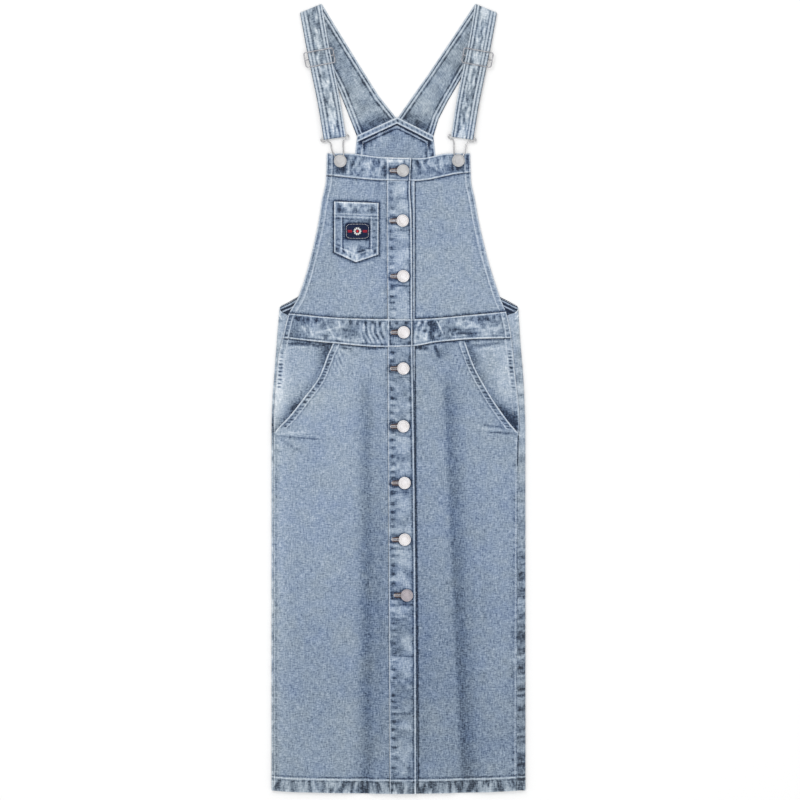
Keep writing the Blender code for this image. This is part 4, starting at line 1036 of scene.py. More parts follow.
def sew(name, made, lines, finish, upwards=False, pitch=STITCH_PITCH, size=STITCH_SIZE):
    """Stitches along lines of x and y, on the upper or lower side of a piece."""
    surface = surface_of(made)
    centres, tangents, normals = [], [], []
    for x, y in lines:
        at_x, at_y, direction = evenly_along(x, y, pitch)
        points, facing, kept = settle(surface, at_x, at_y, upwards)
        centres.append(points[kept])
        tangents.append(direction[kept])
        normals.append(facing[kept])
    centres, tangents, normals = (np.concatenate(group) for group in (centres, tangents, normals))
    tangents[:, 2] = -(tangents[:, 0] * normals[:, 0] + tangents[:, 1] * normals[:, 1]) / normals[:, 2]
    return beads(name, centres + normals * size[2] * STITCH_RISE, tangents, normals, size, finish)


# ---------------------------------------------------------------- the front's pieces
SKIRT_HEIGHT, BIB_HEIGHT = 0.762, 0.235
HEM_ROPE_PITCH, HEM_ROPE_DEPTH = 0.0115, 0.0004
# Painted shade in the valleys of the long folds
SHADED_FOLDS = [  # x at the waist, x at the hem, reach to the left, reach to the right, shade
    (-0.054, -0.053, 0.034, 0.024, 0.32),
    (0.077, 0.113, 0.014, 0.052, 0.34),
]
LOW_SHADE, PLACKET_SHADE = 0.2, 0.18
# Strength and reach of the painted shadow along the slanted pocket edges
HIP_SHADE, HIP_SHADE_REACH = 0.7, 0.0125
POCKET_HEM_DEPTH = 0.0255


def band_climb(x):
    """A left band rises on to the placket at the placket's stitch line."""
    stitch = PLACKET_STITCH[1][1]
    return PLACKET_LIFT * smooth_step(x, stitch - CLIMB_BEFORE, stitch + CLIMB_AFTER)


def hem_ropes(x, above):
    """The twisted look of a washed hem: upright blocks, some of them leaning, in its folded depth."""
    lean = 0.9 * lattice(x / 0.035, 0 * x, 205)
    shifted = x / HEM_ROPE_PITCH + lean * above / HEM_DEPTH
    folds = 0.9 * lattice(2 * shifted, above / 0.02, 201) + 0.5 * lattice(4.6 * shifted, above / 0.014, 203)
    inside = 1 - smooth_step(above, HEM_DEPTH - 0.003, HEM_DEPTH - 0.0015)
    return np.tanh(2.6 * folds) * inside


def hem_extra(panel):
    """The hem is folded double: thicker below its stitch line, and puckered all along."""
    inside = 1 - smooth_step(panel.from_bottom, HEM_DEPTH - HEM_STEP, HEM_DEPTH + HEM_STEP)
    return (HEM_CLOTH - CLOTH) * inside + HEM_ROPE_DEPTH * hem_ropes(panel.x, panel.from_bottom)


def hem_wash_at(x, above):
    """Wear of the hem, at heights above its edge: pale ropes, and a dark line over its pale stitch line."""
    inside = 1 - smooth_step(above, HEM_DEPTH - 0.002, HEM_DEPTH)
    patchy = 0.7 + 0.3 * lattice(x / 0.03, 0 * x, 77)
    shade = (-0.14 + 0.46 * hem_ropes(x, above)) * inside
    shade = shade - 0.85 * patchy * bump(above, HEM_DEPTH + 0.003, 0.0014)
    shade = shade - 0.35 * bump(above, HEM_DEPTH - 0.0032, 0.0013) + 0.3 * bump(above, 0.0006, 0.0012)
    return under_line(shade, bump(above, HEM_DEPTH, 0.0013), 0.75)


def hem_wash(panel):
    return hem_wash_at(panel.x, panel.from_bottom)


def valley_shade(panel):
    """Painted shade in the valleys of the long folds, and the skirt a little darker low down."""
    shade = -LOW_SHADE * smooth_step(-panel.y, -0.05, 0.6)
    for waist_x, hem_x, reach_left, reach_right, strength in SHADED_FOLDS:
        deep = fold_share(panel.x, panel.y, waist_x, hem_x, reach_left, reach_right)
        shade = shade - strength * deep ** 2.5
    return shade


def slant_or_seam_left(y):
    return np.maximum(curve(SLANT_LEFT, y), curve(FRONT_EDGE_LEFT, y))


def slant_or_seam_right(y):
    return np.minimum(curve(SLANT_RIGHT, y), curve(FRONT_EDGE_RIGHT, y))


def skirt():
    below_waist = along_x(WAIST_BOTTOM, -GAP)
    down = places(SKIRT_HEIGHT, 0.0042,
                  fine=[(0.0, 0.17, 0.0024), (SKIRT_HEIGHT - 0.034, SKIRT_HEIGHT, 0.0018)])
    fine_down = places(SKIRT_HEIGHT, 0.0022)
    dressed = dict(more_relief=hem_extra, more_wash_and_shade=lambda p: hem_wash(p) + valley_shade(p))
    left = Panel(slant_or_seam_left, along_y(PLACKET_STITCH, -GAP), below_waist, hem_y,
                 places(0.195, 0.0021), down)
    front("skirt_front_left", left, CLOTH, steady(), "denim", (0.212, 0.785), area=0.155, **dressed)
    right = Panel(along_y(UNDER_SEAM, GAP), slant_or_seam_right, below_waist, hem_y,
                  places(0.17, 0.0021), down)
    front("skirt_front_right", right, CLOTH, steady(), "denim", (0.19, 0.785), area=0.137, **dressed)
    top = Panel(along_y(PLACKET_STITCH), along_y(PLACKET_FREE_EDGE), below_waist, hem_y,
                places(0.042, 0.0016), fine_down)
    front("skirt_placket_top", top, BAND, steady(PLACKET_LIFT), "denim_band", (0.084, 0.785), area=0.0335,
          finish=BAND_DENIM, more_relief=hem_extra, more_wash_and_shade=lambda p: hem_wash(p) - PLACKET_SHADE)
    under = Panel(along_y(PLACKET_STITCH, UNDER_OVERLAP), along_y(UNDER_SEAM), below_waist, hem_y,
                  places(0.044, 0.003, fine=[(0.034, 0.044, 0.0012)]), places(SKIRT_HEIGHT, 0.0035))
    front("skirt_placket_under", under, BAND, steady(), "denim_band", (0.084, 0.785), area=0.0335,
          finish=BAND_DENIM)


def hip(name, side, seam, slant):
    """A pocket's bearer: it dips under the skirt front's slanted edge, and a painted shadow lies along that
    edge.
    """
    outer, inner = along_y(seam), along_y(slant, -side * SLANT_OVERLAP)
    limits = (outer, inner) if side < 0 else (inner, outer)
    panel = Panel(*limits, along_x(WAIST_BOTTOM, -GAP), steady(slant[-1][0]),
                  places(0.075, 0.0016), places(0.158, 0.002))
    past_slant = side * (panel.x - curve(slant, panel.y))
    outside = past_slant * Panel.lean(along_y(slant), panel.y)
    dip = -POCKET_DROP * (1 - smooth_step(past_slant, DIP_START, DIP_END))
    shadow = -HIP_SHADE * np.exp(-(np.maximum(outside, 0) / HIP_SHADE_REACH) ** 2)
    strength = 0.5 + 0.5 * np.maximum(bump(panel.y, 0.075, 0.022), bump(panel.y, -0.03, 0.026))
    front(name, panel, CLOTH, lambda x: dip, "denim", (0.085, 0.165), area=0.0105,
          more_wash_and_shade=lambda p: shadow * strength)


def bands():
    for name, top, bottom, height, flat_top, flat in (
            ("waistband", along_x(WAIST_TOP, -GAP), along_x(WAIST_BOTTOM), 0.044, 0.12, (0.215, 0.088)),
            ("bib_band", along_x(BIB_TOP), along_x(BAND_SEAM), 0.037, 0.4, (0.15, 0.076))):
        down = places(height, 0.0016)
        left_width = curve(PLACKET_FREE_EDGE, flat_top) - curve(FRONT_EDGE_LEFT, flat_top)
        left = Panel(along_y(FRONT_EDGE_LEFT), along_y(PLACKET_FREE_EDGE), top, bottom,
                     places(float(left_width), 0.0016), down)
        front(name + "_left", left, BAND, band_climb, "denim_band", flat, finish=BAND_DENIM,
              area=float(left_width) * height * 1.05, turned=True)
        right_width = curve(FRONT_EDGE_RIGHT, flat_top) - curve(PLACKET_STITCH, flat_top) - UNDER_OVERLAP
        right = Panel(along_y(PLACKET_STITCH, UNDER_OVERLAP), along_y(FRONT_EDGE_RIGHT), top, bottom,
                      places(float(right_width), 0.0016), down)
        front(name + "_right", right, BAND, steady(), "denim_band", flat, finish=BAND_DENIM,
              area=float(right_width) * height * 1.05, turned=True)


def bib():
    top, bottom = along_x(BAND_SEAM, -GAP), along_x(WAIST_TOP)
    down, fine_down = places(BIB_HEIGHT, 0.0024), places(BIB_HEIGHT, 0.0018)
    left = Panel(along_y(FRONT_EDGE_LEFT), along_y(PLACKET_STITCH, -GAP), top, bottom,
                 places(0.135, 0.002), down)
    front("bib_front_left", left, CLOTH, steady(), "denim", (0.18, 0.26), area=0.033,
          more_wash_and_shade=pocket_halo_shade)
    right = Panel(along_y(UNDER_SEAM, GAP), along_y(FRONT_EDGE_RIGHT), top, bottom,
                  places(0.12, 0.002), down)
    front("bib_front_right", right, CLOTH, steady(), "denim", (0.165, 0.26), area=0.029)
    over = Panel(along_y(PLACKET_STITCH), along_y(PLACKET_FREE_EDGE), top, bottom, places(0.041, 0.0016),
                 fine_down)
    front("bib_placket_top", over, BAND, steady(PLACKET_LIFT), "denim_band", (0.042, 0.26), area=0.0098,
          finish=BAND_DENIM)
    under = Panel(along_y(PLACKET_STITCH, UNDER_OVERLAP), along_y(UNDER_SEAM), top, bottom,
                  places(0.042, 0.0028, fine=[(0.032, 0.042, 0.0012)]), places(BIB_HEIGHT, 0.0028))
    front("bib_placket_under", under, BAND, steady(), "denim_band", (0.042, 0.26), area=0.0098,
          finish=BAND_DENIM)


def pocket_halo_shade(panel):
    """Dark cloth all round the chest pocket, deepest close to its edge: partly painted shadow of the pocket's
    edge, partly unworn indigo.
    """
    outline = [*POCKET_TOP, *reversed(POCKET_FOOT)]
    return (-1.05 * outline_shade(panel, outline, 0.001, 0.0015)
            - 0.28 * outline_shade(panel, outline, 0.003, 0.003))


def pocket_wash_and_shade(panel):
    """The pocket's hem lines, the inner line along its foot, and painted shade round its patch."""
    down, hem = panel.from_top, POCKET_HEM_DEPTH
    upper, lower = bump(down, hem - 0.005, 0.0015), bump(down, hem, 0.0015)
    between = bump(down, hem - 0.0024, 0.001) + bump(down, hem + 0.0035, 0.002)
    above = 1 - smooth_step(down, hem - 0.004, hem)
    hem_lines = 0.35 * upper + 0.45 * lower - 0.45 * between + 0.12 * above
    foot_line = 0.35 * bump(panel.from_bottom, 0.0125, 0.0013) - 0.3 * bump(panel.from_bottom, 0.0155, 0.0016)
    out_x = np.maximum(np.abs(panel.x - PATCH_CENTRE[0]) - PATCH_SIZE[0] / 2 + 0.002, 0)
    out_y = np.maximum(np.abs(panel.y - PATCH_CENTRE[1]) - PATCH_SIZE[1] / 2 + 0.002, 0)
    return hem_lines + foot_line - 0.7 * np.exp(-(np.hypot(out_x, out_y) / 0.0042) ** 2)


def pocket():
    left, right = POCKET_SIDES
    panel = Panel(steady(left), steady(right), lambda x: straight(POCKET_TOP, x),
                  lambda x: straight(POCKET_FOOT, x), places(0.0752, 0.0014), places(0.095, 0.0014))
    front("chest_pocket", panel, POCKET_CLOTH, steady(CLOTH + GAP), "denim", (0.098, 0.125), area=0.0085,
          finish=BAND_DENIM, more_wash_and_shade=pocket_wash_and_shade)


# ---------------------------------------------------------------- the back, in one wall
BACK_EDGE = [SIDE_FOLD_LEFT[0][::-1], *BACK_TOP, SIDE_FOLD_RIGHT[0][::-1]]      # x, y along its free edge
BACK_HEIGHT = 0.95
FLANGE_STEPS, TURN_STEPS, INSIDE_STEPS = 6, 12, 150
WAIST_SIDE_SHADE, LADDER = 0.75, 0.4
RACER_STITCHES = (0.0014, 0.0113)
HEM_THREAD_REACH = 0.205


def side_rows(side, fold_x, seam_x, height, flange, turn):
    """x and z across the back's side: along the flange, then round the fold to the floor."""
    radius = height / 2
    round_x = fold_x - side * radius
    x = np.where(flange < 1, seam_x + (round_x - seam_x) * flange, round_x + side * radius * np.sin(turn))
    z = np.where(flange < 1, height, radius + radius * np.cos(turn))
    return x, z


def back_grids():
    """Points of the back's outer and inner side, each one's distance from the top edge and its height
    above the hem: one wall, whose sides turn round a soft fold up to the front's seams."""
    top_x, top_y = np.array(BACK_TOP).T
    along, place = np.linspace(0, 1, INSIDE_STEPS), np.linspace(0, 1, len(top_x))
    inside_x, inside_y = np.interp(along, place, top_x), np.interp(along, place, top_y)
    flange = np.concatenate([np.linspace(0, 1, FLANGE_STEPS + 1)[:-1], np.ones(TURN_STEPS + 1)])
    turn = np.concatenate([np.zeros(FLANGE_STEPS), np.linspace(0, math.pi, TURN_STEPS + 1)])
    side_top = np.concatenate([np.linspace(SIDE_TOP_SEAM, SIDE_TOP_MIDDLE, FLANGE_STEPS),
                               np.linspace(SIDE_TOP_FOLD, SIDE_TOP_INSIDE, TURN_STEPS + 1)])
    count = len(side_top)
    tops = np.concatenate([side_top, inside_y, side_top[::-1]])
    left_top, right_top = curve(SIDE_FOLD_LEFT, SIDE_TOP_INSIDE), curve(SIDE_FOLD_RIGHT, SIDE_TOP_INSIDE)
    share = (inside_x - left_top) / (right_top - left_top)
    low = hem_y(np.concatenate([np.full(count, HEM[0][0]), inside_x, np.full(count, HEM[-1][0])]))
    down = places(BACK_HEIGHT, 0.0055,
                  fine=[(0, 0.05, 0.002), (0.05, 0.2, 0.0045), (0.92, BACK_HEIGHT, 0.0022)])
    y = tops + (low - tops) * down[:, None]
    outer, inner = np.zeros((*y.shape, 3)), np.zeros((*y.shape, 3))
    outer[..., 1] = inner[..., 1] = y
    hemmed = 1 - smooth_step(y - low, HEM_DEPTH - HEM_STEP, HEM_DEPTH + HEM_STEP)
    thick = CLOTH + (HEM_CLOTH - CLOTH) * hemmed
    for columns, side, fold, seam in ((slice(0, count), -1, SIDE_FOLD_LEFT, FRONT_EDGE_LEFT),
                                      (slice(-count, None), 1, SIDE_FOLD_RIGHT, FRONT_EDGE_RIGHT)):
        order = slice(None) if side < 0 else slice(None, None, -1)
        rows, wall = y[:, columns], thick[:, columns]
        seam_x = curve(seam, rows)
        height = front_height(seam_x, rows) + wall
        x, z = side_rows(side, curve(fold, rows), seam_x + side * GAP, height, flange[order], turn[order])
        outer[:, columns, 0], outer[:, columns, 2] = x, z
        centre_x, centre_z = curve(fold, rows) - side * height / 2, height / 2
        shrink = 1 - wall / (height / 2)
        inner[:, columns, 0] = np.where(flange[order] < 1, x, centre_x + (x - centre_x) * shrink)
        inner[:, columns, 2] = np.where(flange[order] < 1, z - wall, centre_z + (z - centre_z) * shrink)
    middle = slice(count, -count)
    rows = y[:, middle]
    fold_left, fold_right = curve(SIDE_FOLD_LEFT, rows), curve(SIDE_FOLD_RIGHT, rows)
    outer[:, middle, 0] = inner[:, middle, 0] = fold_left + (fold_right - fold_left) * share
    from_top = tops - y
    inner[:, middle, 2] = (thick * edge_rounding(from_top, FREE_EDGE_SHARE))[:, middle]
    return outer, inner, from_top, y - low


def back_inside_wash_and_shade(x, y):
    """The racer back's side hems, the painted shade under its yoke and the painted shade in the waist's side
    corners, seen from inside.
    """
    from_edge = distance_to(x, y, BACK_EDGE)
    above = smooth_step(y, 0.3, 0.34)
    to_yoke = distance_to(x, y, YOKE_PEAK) + YOKE_BOTTOM
    folds = puckers(x, to_yoke, 0.008, 0.017, 304)
    wash_and_shade = -0.14 + 0.14 * clouds(x, y, 0.03, 303) + 0.1 * clouds(x, y, 0.008, 306)
    wash_and_shade = wash_and_shade + above * (-0.95 * bump(to_yoke, 0.0008, 0.0016) + 0.95 * folds
                           - 0.25 * bump(to_yoke, 0.004, 0.006))
    # Painted shade: the inner face is darker in the waist's side corners, where it lies between the layers
    waist_side = (1 - smooth_step(y, 0.19, 0.22)) * smooth_step(y, 0.125, 0.14)
    dashes = rungs(y, 0.0085, 301) * bump(from_edge, 0.0062, 0.003) * (1 - waist_side)
    wash_and_shade = wash_and_shade - 0.9 * dashes - 0.9 * bump(from_edge, 0.0143, 0.0014)
    wash_and_shade = wash_and_shade - 0.8 * above * (bump(from_edge, 0.0038, 0.0013) + bump(from_edge, 0.0088, 0.0015))
    wash_and_shade = wash_and_shade - waist_side * (bump(from_edge, 0.0078, 0.0014) + bump(from_edge, 0.001, 0.0016))
    first, second = 0.0012 + 0.0034 * waist_side, 0.0115 - 0.0007 * waist_side
    line = bump(from_edge, first, SEAM_WIDTH) + bump(from_edge, second, SEAM_WIDTH)
    return under_line(wash_and_shade, line, SEAM_PALE) - WAIST_SIDE_SHADE * waist_side * (1 - 0.9 * line)


def back_outside_wash_light_and_shade(x, y, from_top, above_hem):
    """The back's outside: hems at the waist's sides and along the racer edge, the skirt's hem, the marks down
    both side folds, painted light on the left side fold and painted shade on the right one."""
    wash_and_shade = 0.08 + 0.15 * clouds(x, y, 0.05, 305) - LOW_SHADE * smooth_step(-y, -0.05, 0.6)
    at_side = smooth_step(np.abs(x), 0.195, 0.202)
    side_hem = at_side * smooth_step(y, 0.1, 0.12)
    wash_and_shade = wash_and_shade + side_hem * (
        0.9 * bump(from_top, 0.0008, 0.001) + 0.8 * bump(from_top, 0.0105, 0.0011)
        - (0.5 + 0.9 * puckers(x, 0 * y, 0.006, 0.02, 308)) * bump(from_top, 0.0055, 0.0028)
        - 0.5 * bump(from_top, 0.013, 0.0012))
    from_edge = distance_to(x, y, BACK_EDGE)
    folds = puckers(y, from_edge - 0.006, 0.008, 0.006, 309)
    wash_and_shade = wash_and_shade + (1 - side_hem) * (0.45 * folds - 0.6 * bump(from_edge, 0.014, 0.0014)
                                    - 0.5 * bump(from_edge, 0.004, 0.0014))
    lines = sum(bump(from_edge, distance, SEAM_WIDTH) for distance in RACER_STITCHES)
    wash_and_shade = under_line(wash_and_shade, (1 - side_hem) * lines, SEAM_PALE)
    wash_and_shade = wash_and_shade + LADDER * puckers(y, 0 * y, 0.012, 0.02, 307) * at_side + hem_wash_at(x, above_hem)
    seam_marks = rungs(y, 0.0085, 310) * smooth_step(-y, 0.22, 0.26) * (x > 0.195)
    corner_marks = (0.6 + 0.6 * rungs(y, 0.007, 311)) * bump(y, -0.05, 0.024) * (x < -0.195)
    # Painted light and shade: the left side fold is paler and the right one darker, as the light falls from
    # the left
    lit_edge = smooth_step(-y, 0.06, 0.12) * (x < -0.205)
    shaded_edge = smooth_step(-y, 0.06, 0.12) * (x > 0.203)
    return wash_and_shade - 0.5 * seam_marks - corner_marks + 0.12 * lit_edge - 0.3 * shaded_edge


def back():
    outer, inner, from_top, above_hem = back_grids()
    outer, inner, from_top, above_hem = (grid[:, ::-1] for grid in (outer, inner, from_top, above_hem))
    outside_wash_light_and_shade = back_outside_wash_light_and_shade(outer[..., 0], outer[..., 1], from_top, above_hem)
    inside_wash_and_shade = back_inside_wash_and_shade(inner[..., 0], inner[..., 1])
    made = shell("back_panel_cloth", "back_panel", outer, inner, outside_wash_light_and_shade, outer[..., :2], DENIM,
                 inner_wash_and_shade=inside_wash_and_shade)
    inside = [inset_line(BACK_EDGE, distance) for distance in RACER_STITCHES]
    hem_x = np.linspace(-HEM_THREAD_REACH, HEM_THREAD_REACH, 900)
    outside = inside + [(hem_x, hem_y(hem_x) + HEM_DEPTH)]
    thread = sew("back_inside_thread", made, inside, THREAD)
    under = sew("back_outside_thread", made, outside, THREAD, upwards=True)


def inset_line(corners, distance):
    """x and y of a line kept to the right of its corners, at a distance from them."""
    corner_x, corner_y = np.array(corners).T
    run = along_run(corner_x, corner_y)
    place = np.arange(0, run[-1], 0.0008)
    x, y = np.interp(place, run, corner_x), np.interp(place, run, corner_y)
    run_x, run_y = np.gradient(x), np.gradient(y)
    length = np.hypot(run_x, run_y)
    x, y = x + distance * run_y / length, y - distance * run_x / length
    clear = distance_to(x, y, corners) > 0.9 * distance
    return x[clear], y[clear]


def distance_to(x, y, line):
    """Distance to an open line of corners."""
    nearest = np.full(x.shape, 1.0)
    for (x0, y0), (x1, y1) in zip(line, line[1:]):
        run_x, run_y = x1 - x0, y1 - y0
        share = np.clip(((x - x0) * run_x + (y - y0) * run_y) / (run_x ** 2 + run_y ** 2), 0, 1)
        nearest = np.minimum(nearest, np.hypot(x - x0 - share * run_x, y - y0 - share * run_y))
    return nearest


def yoke():
    x_of, y_of = np.array(YOKE_PEAK).T
    across, down = places(0.139, 0.0018), places(YOKE_TOP - YOKE_BOTTOM, 0.0014)
    x = np.interp(across, np.linspace(0, 1, len(x_of)), x_of)
    y = np.interp(x, x_of, y_of)
    rise = YOKE_TOP + (YOKE_BOTTOM - YOKE_TOP) * down[:, None]
    grid_x, grid_y = x + 0 * rise, y + rise
    ends = np.minimum(grid_x - x_of[0], x_of[-1] - grid_x)
    nearest = np.minimum(np.minimum(YOKE_TOP - rise, rise - YOKE_BOTTOM) + 0 * grid_x, ends)
    base = STRAP + GAP
    line = bump(YOKE_TOP - rise, 0.0014, 0.0013) + bump(rise - YOKE_BOTTOM, 0.0014, 0.0013)
    dashes = rungs(grid_x, 0.0075, 312) * bump(rise, (YOKE_TOP + YOKE_BOTTOM) / 2, 0.0024)
    wash_and_shade = -0.2 - 1.1 * dashes + 0.15 * clouds(grid_x, grid_y, 0.008, 311)
    outer = np.dstack([grid_x, grid_y, base + CLOTH * edge_rounding(nearest)])
    inner = np.dstack([grid_x, grid_y, np.full_like(grid_x, base)])
    made = shell("yoke_band_cloth", "back_yoke_band", outer, inner, under_line(wash_and_shade, line, 0.8),
                 outer[..., :2], BAND_DENIM)
    line_x = np.linspace(x_of[0] + 0.0012, x_of[-1] - 0.0012, 400)
    line_y = np.interp(line_x, x_of, y_of)
    lines = [(line_x, line_y + YOKE_TOP - 0.0016), (line_x, line_y + YOKE_BOTTOM + 0.0016)]
    thread = sew("yoke_band_thread", made, lines, THREAD)


# ---------------------------------------------------------------- straps
STRAP_WIDTH = 0.038
BACK_RUN_ROWS = 109
STRAP_SEAMS_ARM, STRAP_SEAMS_NECK = (0.0032, 0.0088), (0.0013, 0.0062)
STRAP_WASH, BACK_STRAP_WASH = {-1: 0.02, 1: -0.05}, -0.22
STRAP_SEED = 400
STRAP_STITCH_RISE = 0.00008
STRAP_WRINKLES, STRAP_DASHES = 0.00035, 0.0002      # depths


def along_points(points):
    """How far along a run of points in space each one lies."""
    return np.concatenate([[0], np.cumsum(np.linalg.norm(np.diff(points, axis=0), axis=1))])


def strap_line(distance, height, across):
    """Points across the left strap's front run."""
    table = np.array(STRAP_FRONT)
    outer_x, outer_y, inner_x, inner_y = (
        curve(np.column_stack([table[:, 0], table[:, column]]), distance) for column in (1, 2, 3, 4))
    return np.column_stack([outer_x + (inner_x - outer_x) * across, outer_y + (inner_y - outer_y) * across,
                            np.full(len(across), height)])


def rolled(line, forwards, radius, start, end, centre_height, steps=10):
    """Rows of a strap that turns from one angle to another round a bar or a soft fold."""
    rows = []
    for angle in np.linspace(start, end, steps + 1):
        moved = line.copy()
        moved[:, :2] += forwards * radius * (math.cos(angle) - 1)
        moved[:, 2] = centre_height + radius * math.sin(angle)
        rows.append(moved)
    return rows


def square_to(line, forwards):
    """The level direction square to a row of the strap."""
    along = line[-1, :2] - line[0, :2]
    along = along / np.linalg.norm(along)
    return forwards * np.array([-along[1], along[0]])


def strap_ribbon(side, across):
    """Rows of points on the strap's upper face, from the yoke over the shoulder fold, down the front, round
    the buckle's bar and up as the tail; and the rows where the front run starts and ends."""
    back_run = np.array(STRAP_BACK[side])
    places_on_run = np.linspace(0, len(back_run) - 1, BACK_RUN_ROWS + 1)[:-1]
    corners = [np.interp(places_on_run, range(len(back_run)), column) for column in back_run.T]
    rows = [np.column_stack([arm_x + (neck_x - arm_x) * across, arm_y + (neck_y - arm_y) * across,
                             np.zeros(len(across))])
            for arm_x, arm_y, neck_x, neck_y in zip(*corners)]
    radius = (STRAP_HEIGHT[0][1] + STRAP) / 2
    fold_line = strap_line(0.0, 0.0, across)
    shoulder = rolled(fold_line, square_to(fold_line, 1), radius, -math.pi / 2, math.pi / 2, radius)
    front_run = [strap_line(distance, float(straight(STRAP_HEIGHT, distance)) + STRAP, across)
                 for distance in np.arange(0.0025, 0.2185, 0.0022)]
    end_line = strap_line(STRAP_FRONT[-1][0], 0.0, across)
    bar_radius = (STRAP_HEIGHT[-1][1] + STRAP - TAIL_HEIGHT[-1][1]) / 2
    bar_height = TAIL_HEIGHT[-1][1] + bar_radius
    round_bar = rolled(end_line, square_to(end_line, -1), bar_radius, math.pi / 2, -math.pi / 2, bar_height)
    tail = [strap_line(distance, float(straight(TAIL_HEIGHT, distance)), across)
            for distance in np.arange(0.214, TAIL_END, -0.004)]
    turn_row = len(rows) + len(shoulder)
    end_row = turn_row + len(front_run)
    mirror = np.array([-side, 1, 1])
    ribbon = np.array(rows + [row * mirror for row in shoulder + front_run + round_bar + tail])
    return (ribbon if side < 0 else ribbon[:, ::-1]), turn_row, end_row


def strap_wear(side, ribbon, share, along, front_start, arm, neck):
    """A strap's relief, its wash, and the wash of its back run's inner side, which has painted shadow along
    its arm edge close to the front run. along is the distance from the yoke, front_start is where the front
    run starts, arm and neck are distances from the two edges."""
    seed = STRAP_SEED + side
    warped = share * 9 + 0.7 * lattice(along / 0.012, share * 4, seed)
    wrinkles = np.tanh(2.2 * (0.7 * lattice(warped, along / 0.014, seed + 1)
                              + 0.6 * lattice(1.9 * warped, along / 0.007, seed + 2)))
    between_seams = smooth_step(arm, 0.0105, 0.014) * smooth_step(neck, 0.0085, 0.0115)
    dashes = rungs(along, 0.0058, seed + 3) * (bump(arm, 0.006, 0.002) + bump(neck, 0.0038, 0.002))
    at_slider = bump(along, front_start + SLIDER_DISTANCE, 0.016)
    relief = (STRAP_WRINKLES * wrinkles * between_seams - STRAP_DASHES * dashes) * (1 - at_slider)
    line = sum(bump(arm, distance, SEAM_WIDTH) for distance in STRAP_SEAMS_ARM)
    line = line + sum(bump(neck, distance, SEAM_WIDTH) for distance in STRAP_SEAMS_NECK)
    dark = (-0.35 * dashes - 0.85 * bump(arm, 0.0002, 0.0011) - 0.6 * bump(arm, 0.006, 0.0011)
            - 0.7 * bump(arm, 0.0121, 0.0013) - 0.75 * bump(neck, 0.0036, 0.0011)
            - 0.75 * bump(neck, 0.0096, 0.0014))
    down_front = along - front_start
    below_slider = smooth_step(down_front, 0.094, 0.1) * (1 - smooth_step(down_front, 0.18, 0.2))
    folded_mark = rungs(along, 0.014, seed + 9) * bump(arm, 0.0135, 0.0022) * below_slider
    wash_and_shade = STRAP_WASH[side] + 0.62 * wrinkles * between_seams - 1.1 * folded_mark + dark
    blotches = clouds(ribbon[..., 0], ribbon[..., 1], 0.012, seed + 6)
    near_yoke = 1 - smooth_step(along, 0.006, 0.03)
    # Painted shadow on the back run along its arm edge, close to the front run
    front_run_shadow = smooth_step(along, 0.085, 0.15) * bump(arm, 0.0, 0.022)
    folds = puckers(along, np.minimum(arm, neck) - 0.01, 0.011, 0.008, seed + 8)
    back_wash_and_shade = (BACK_STRAP_WASH + 0.3 * blotches - 0.75 * near_yoke * (0.7 + 0.8 * blotches)
                 - 0.45 * front_run_shadow + 0.35 * folds + dark)
    return relief, *(np.clip(under_line(shade, line, SEAM_PALE), -1, 1) for shade in (wash_and_shade, back_wash_and_shade))


def strap(name, side):
    """A strap with relief on the side that shows: the front run's upper face and the back run's inner one."""
    share = places(STRAP_WIDTH, 0.0014, fine=[(0.0, 0.0105, 0.0008), (0.0275, STRAP_WIDTH, 0.0008)])
    ribbon, turn_row, end_row = strap_ribbon(side, share)
    normal = np.cross(np.gradient(ribbon, axis=0), np.gradient(ribbon, axis=1))
    normal /= np.linalg.norm(normal, axis=2, keepdims=True)
    length = along_points(ribbon[:, ribbon.shape[1] // 2])
    width = np.linalg.norm(ribbon[:, 0] - ribbon[:, -1], axis=1)[:, None]
    along = length[:, None] + 0 * share
    from_one, from_other = share * width, (1 - share) * width
    arm, neck = (from_one, from_other) if side < 0 else (from_other, from_one)
    relief, wash_and_shade, back_wash_and_shade = strap_wear(side, ribbon, share, along, float(length[turn_row]), arm, neck)
    thinned = 1 - edge_rounding(np.minimum(arm, neck), FREE_EDGE_SHARE)
    row = np.arange(len(ribbon))[:, None]
    in_front = (row >= turn_row) & (row < end_row)
    sunk = STRAP * thinned - np.where(in_front, relief, 0)
    outer = ribbon - normal * sunk[..., None]
    inner_relief = np.where(in_front, 0, relief) * (row < turn_row - 6)
    inner = ribbon - normal * (STRAP * (1 - thinned * 0.6) + inner_relief)[..., None]
    made = shell(name + "_cloth", name, outer, inner, wash_and_shade, np.dstack([from_one, along]), BAND_DENIM,
                 inner_wash_and_shade=np.where(row < turn_row - 5, back_wash_and_shade, wash_and_shade))
    thread = strap_thread(name, side, outer, inner, share, width, turn_row, end_row)


def at_lengths(at, run, rows):
    """Values between rows of three, at some lengths along their run."""
    return np.column_stack([np.interp(at, run, column) for column in rows.T])


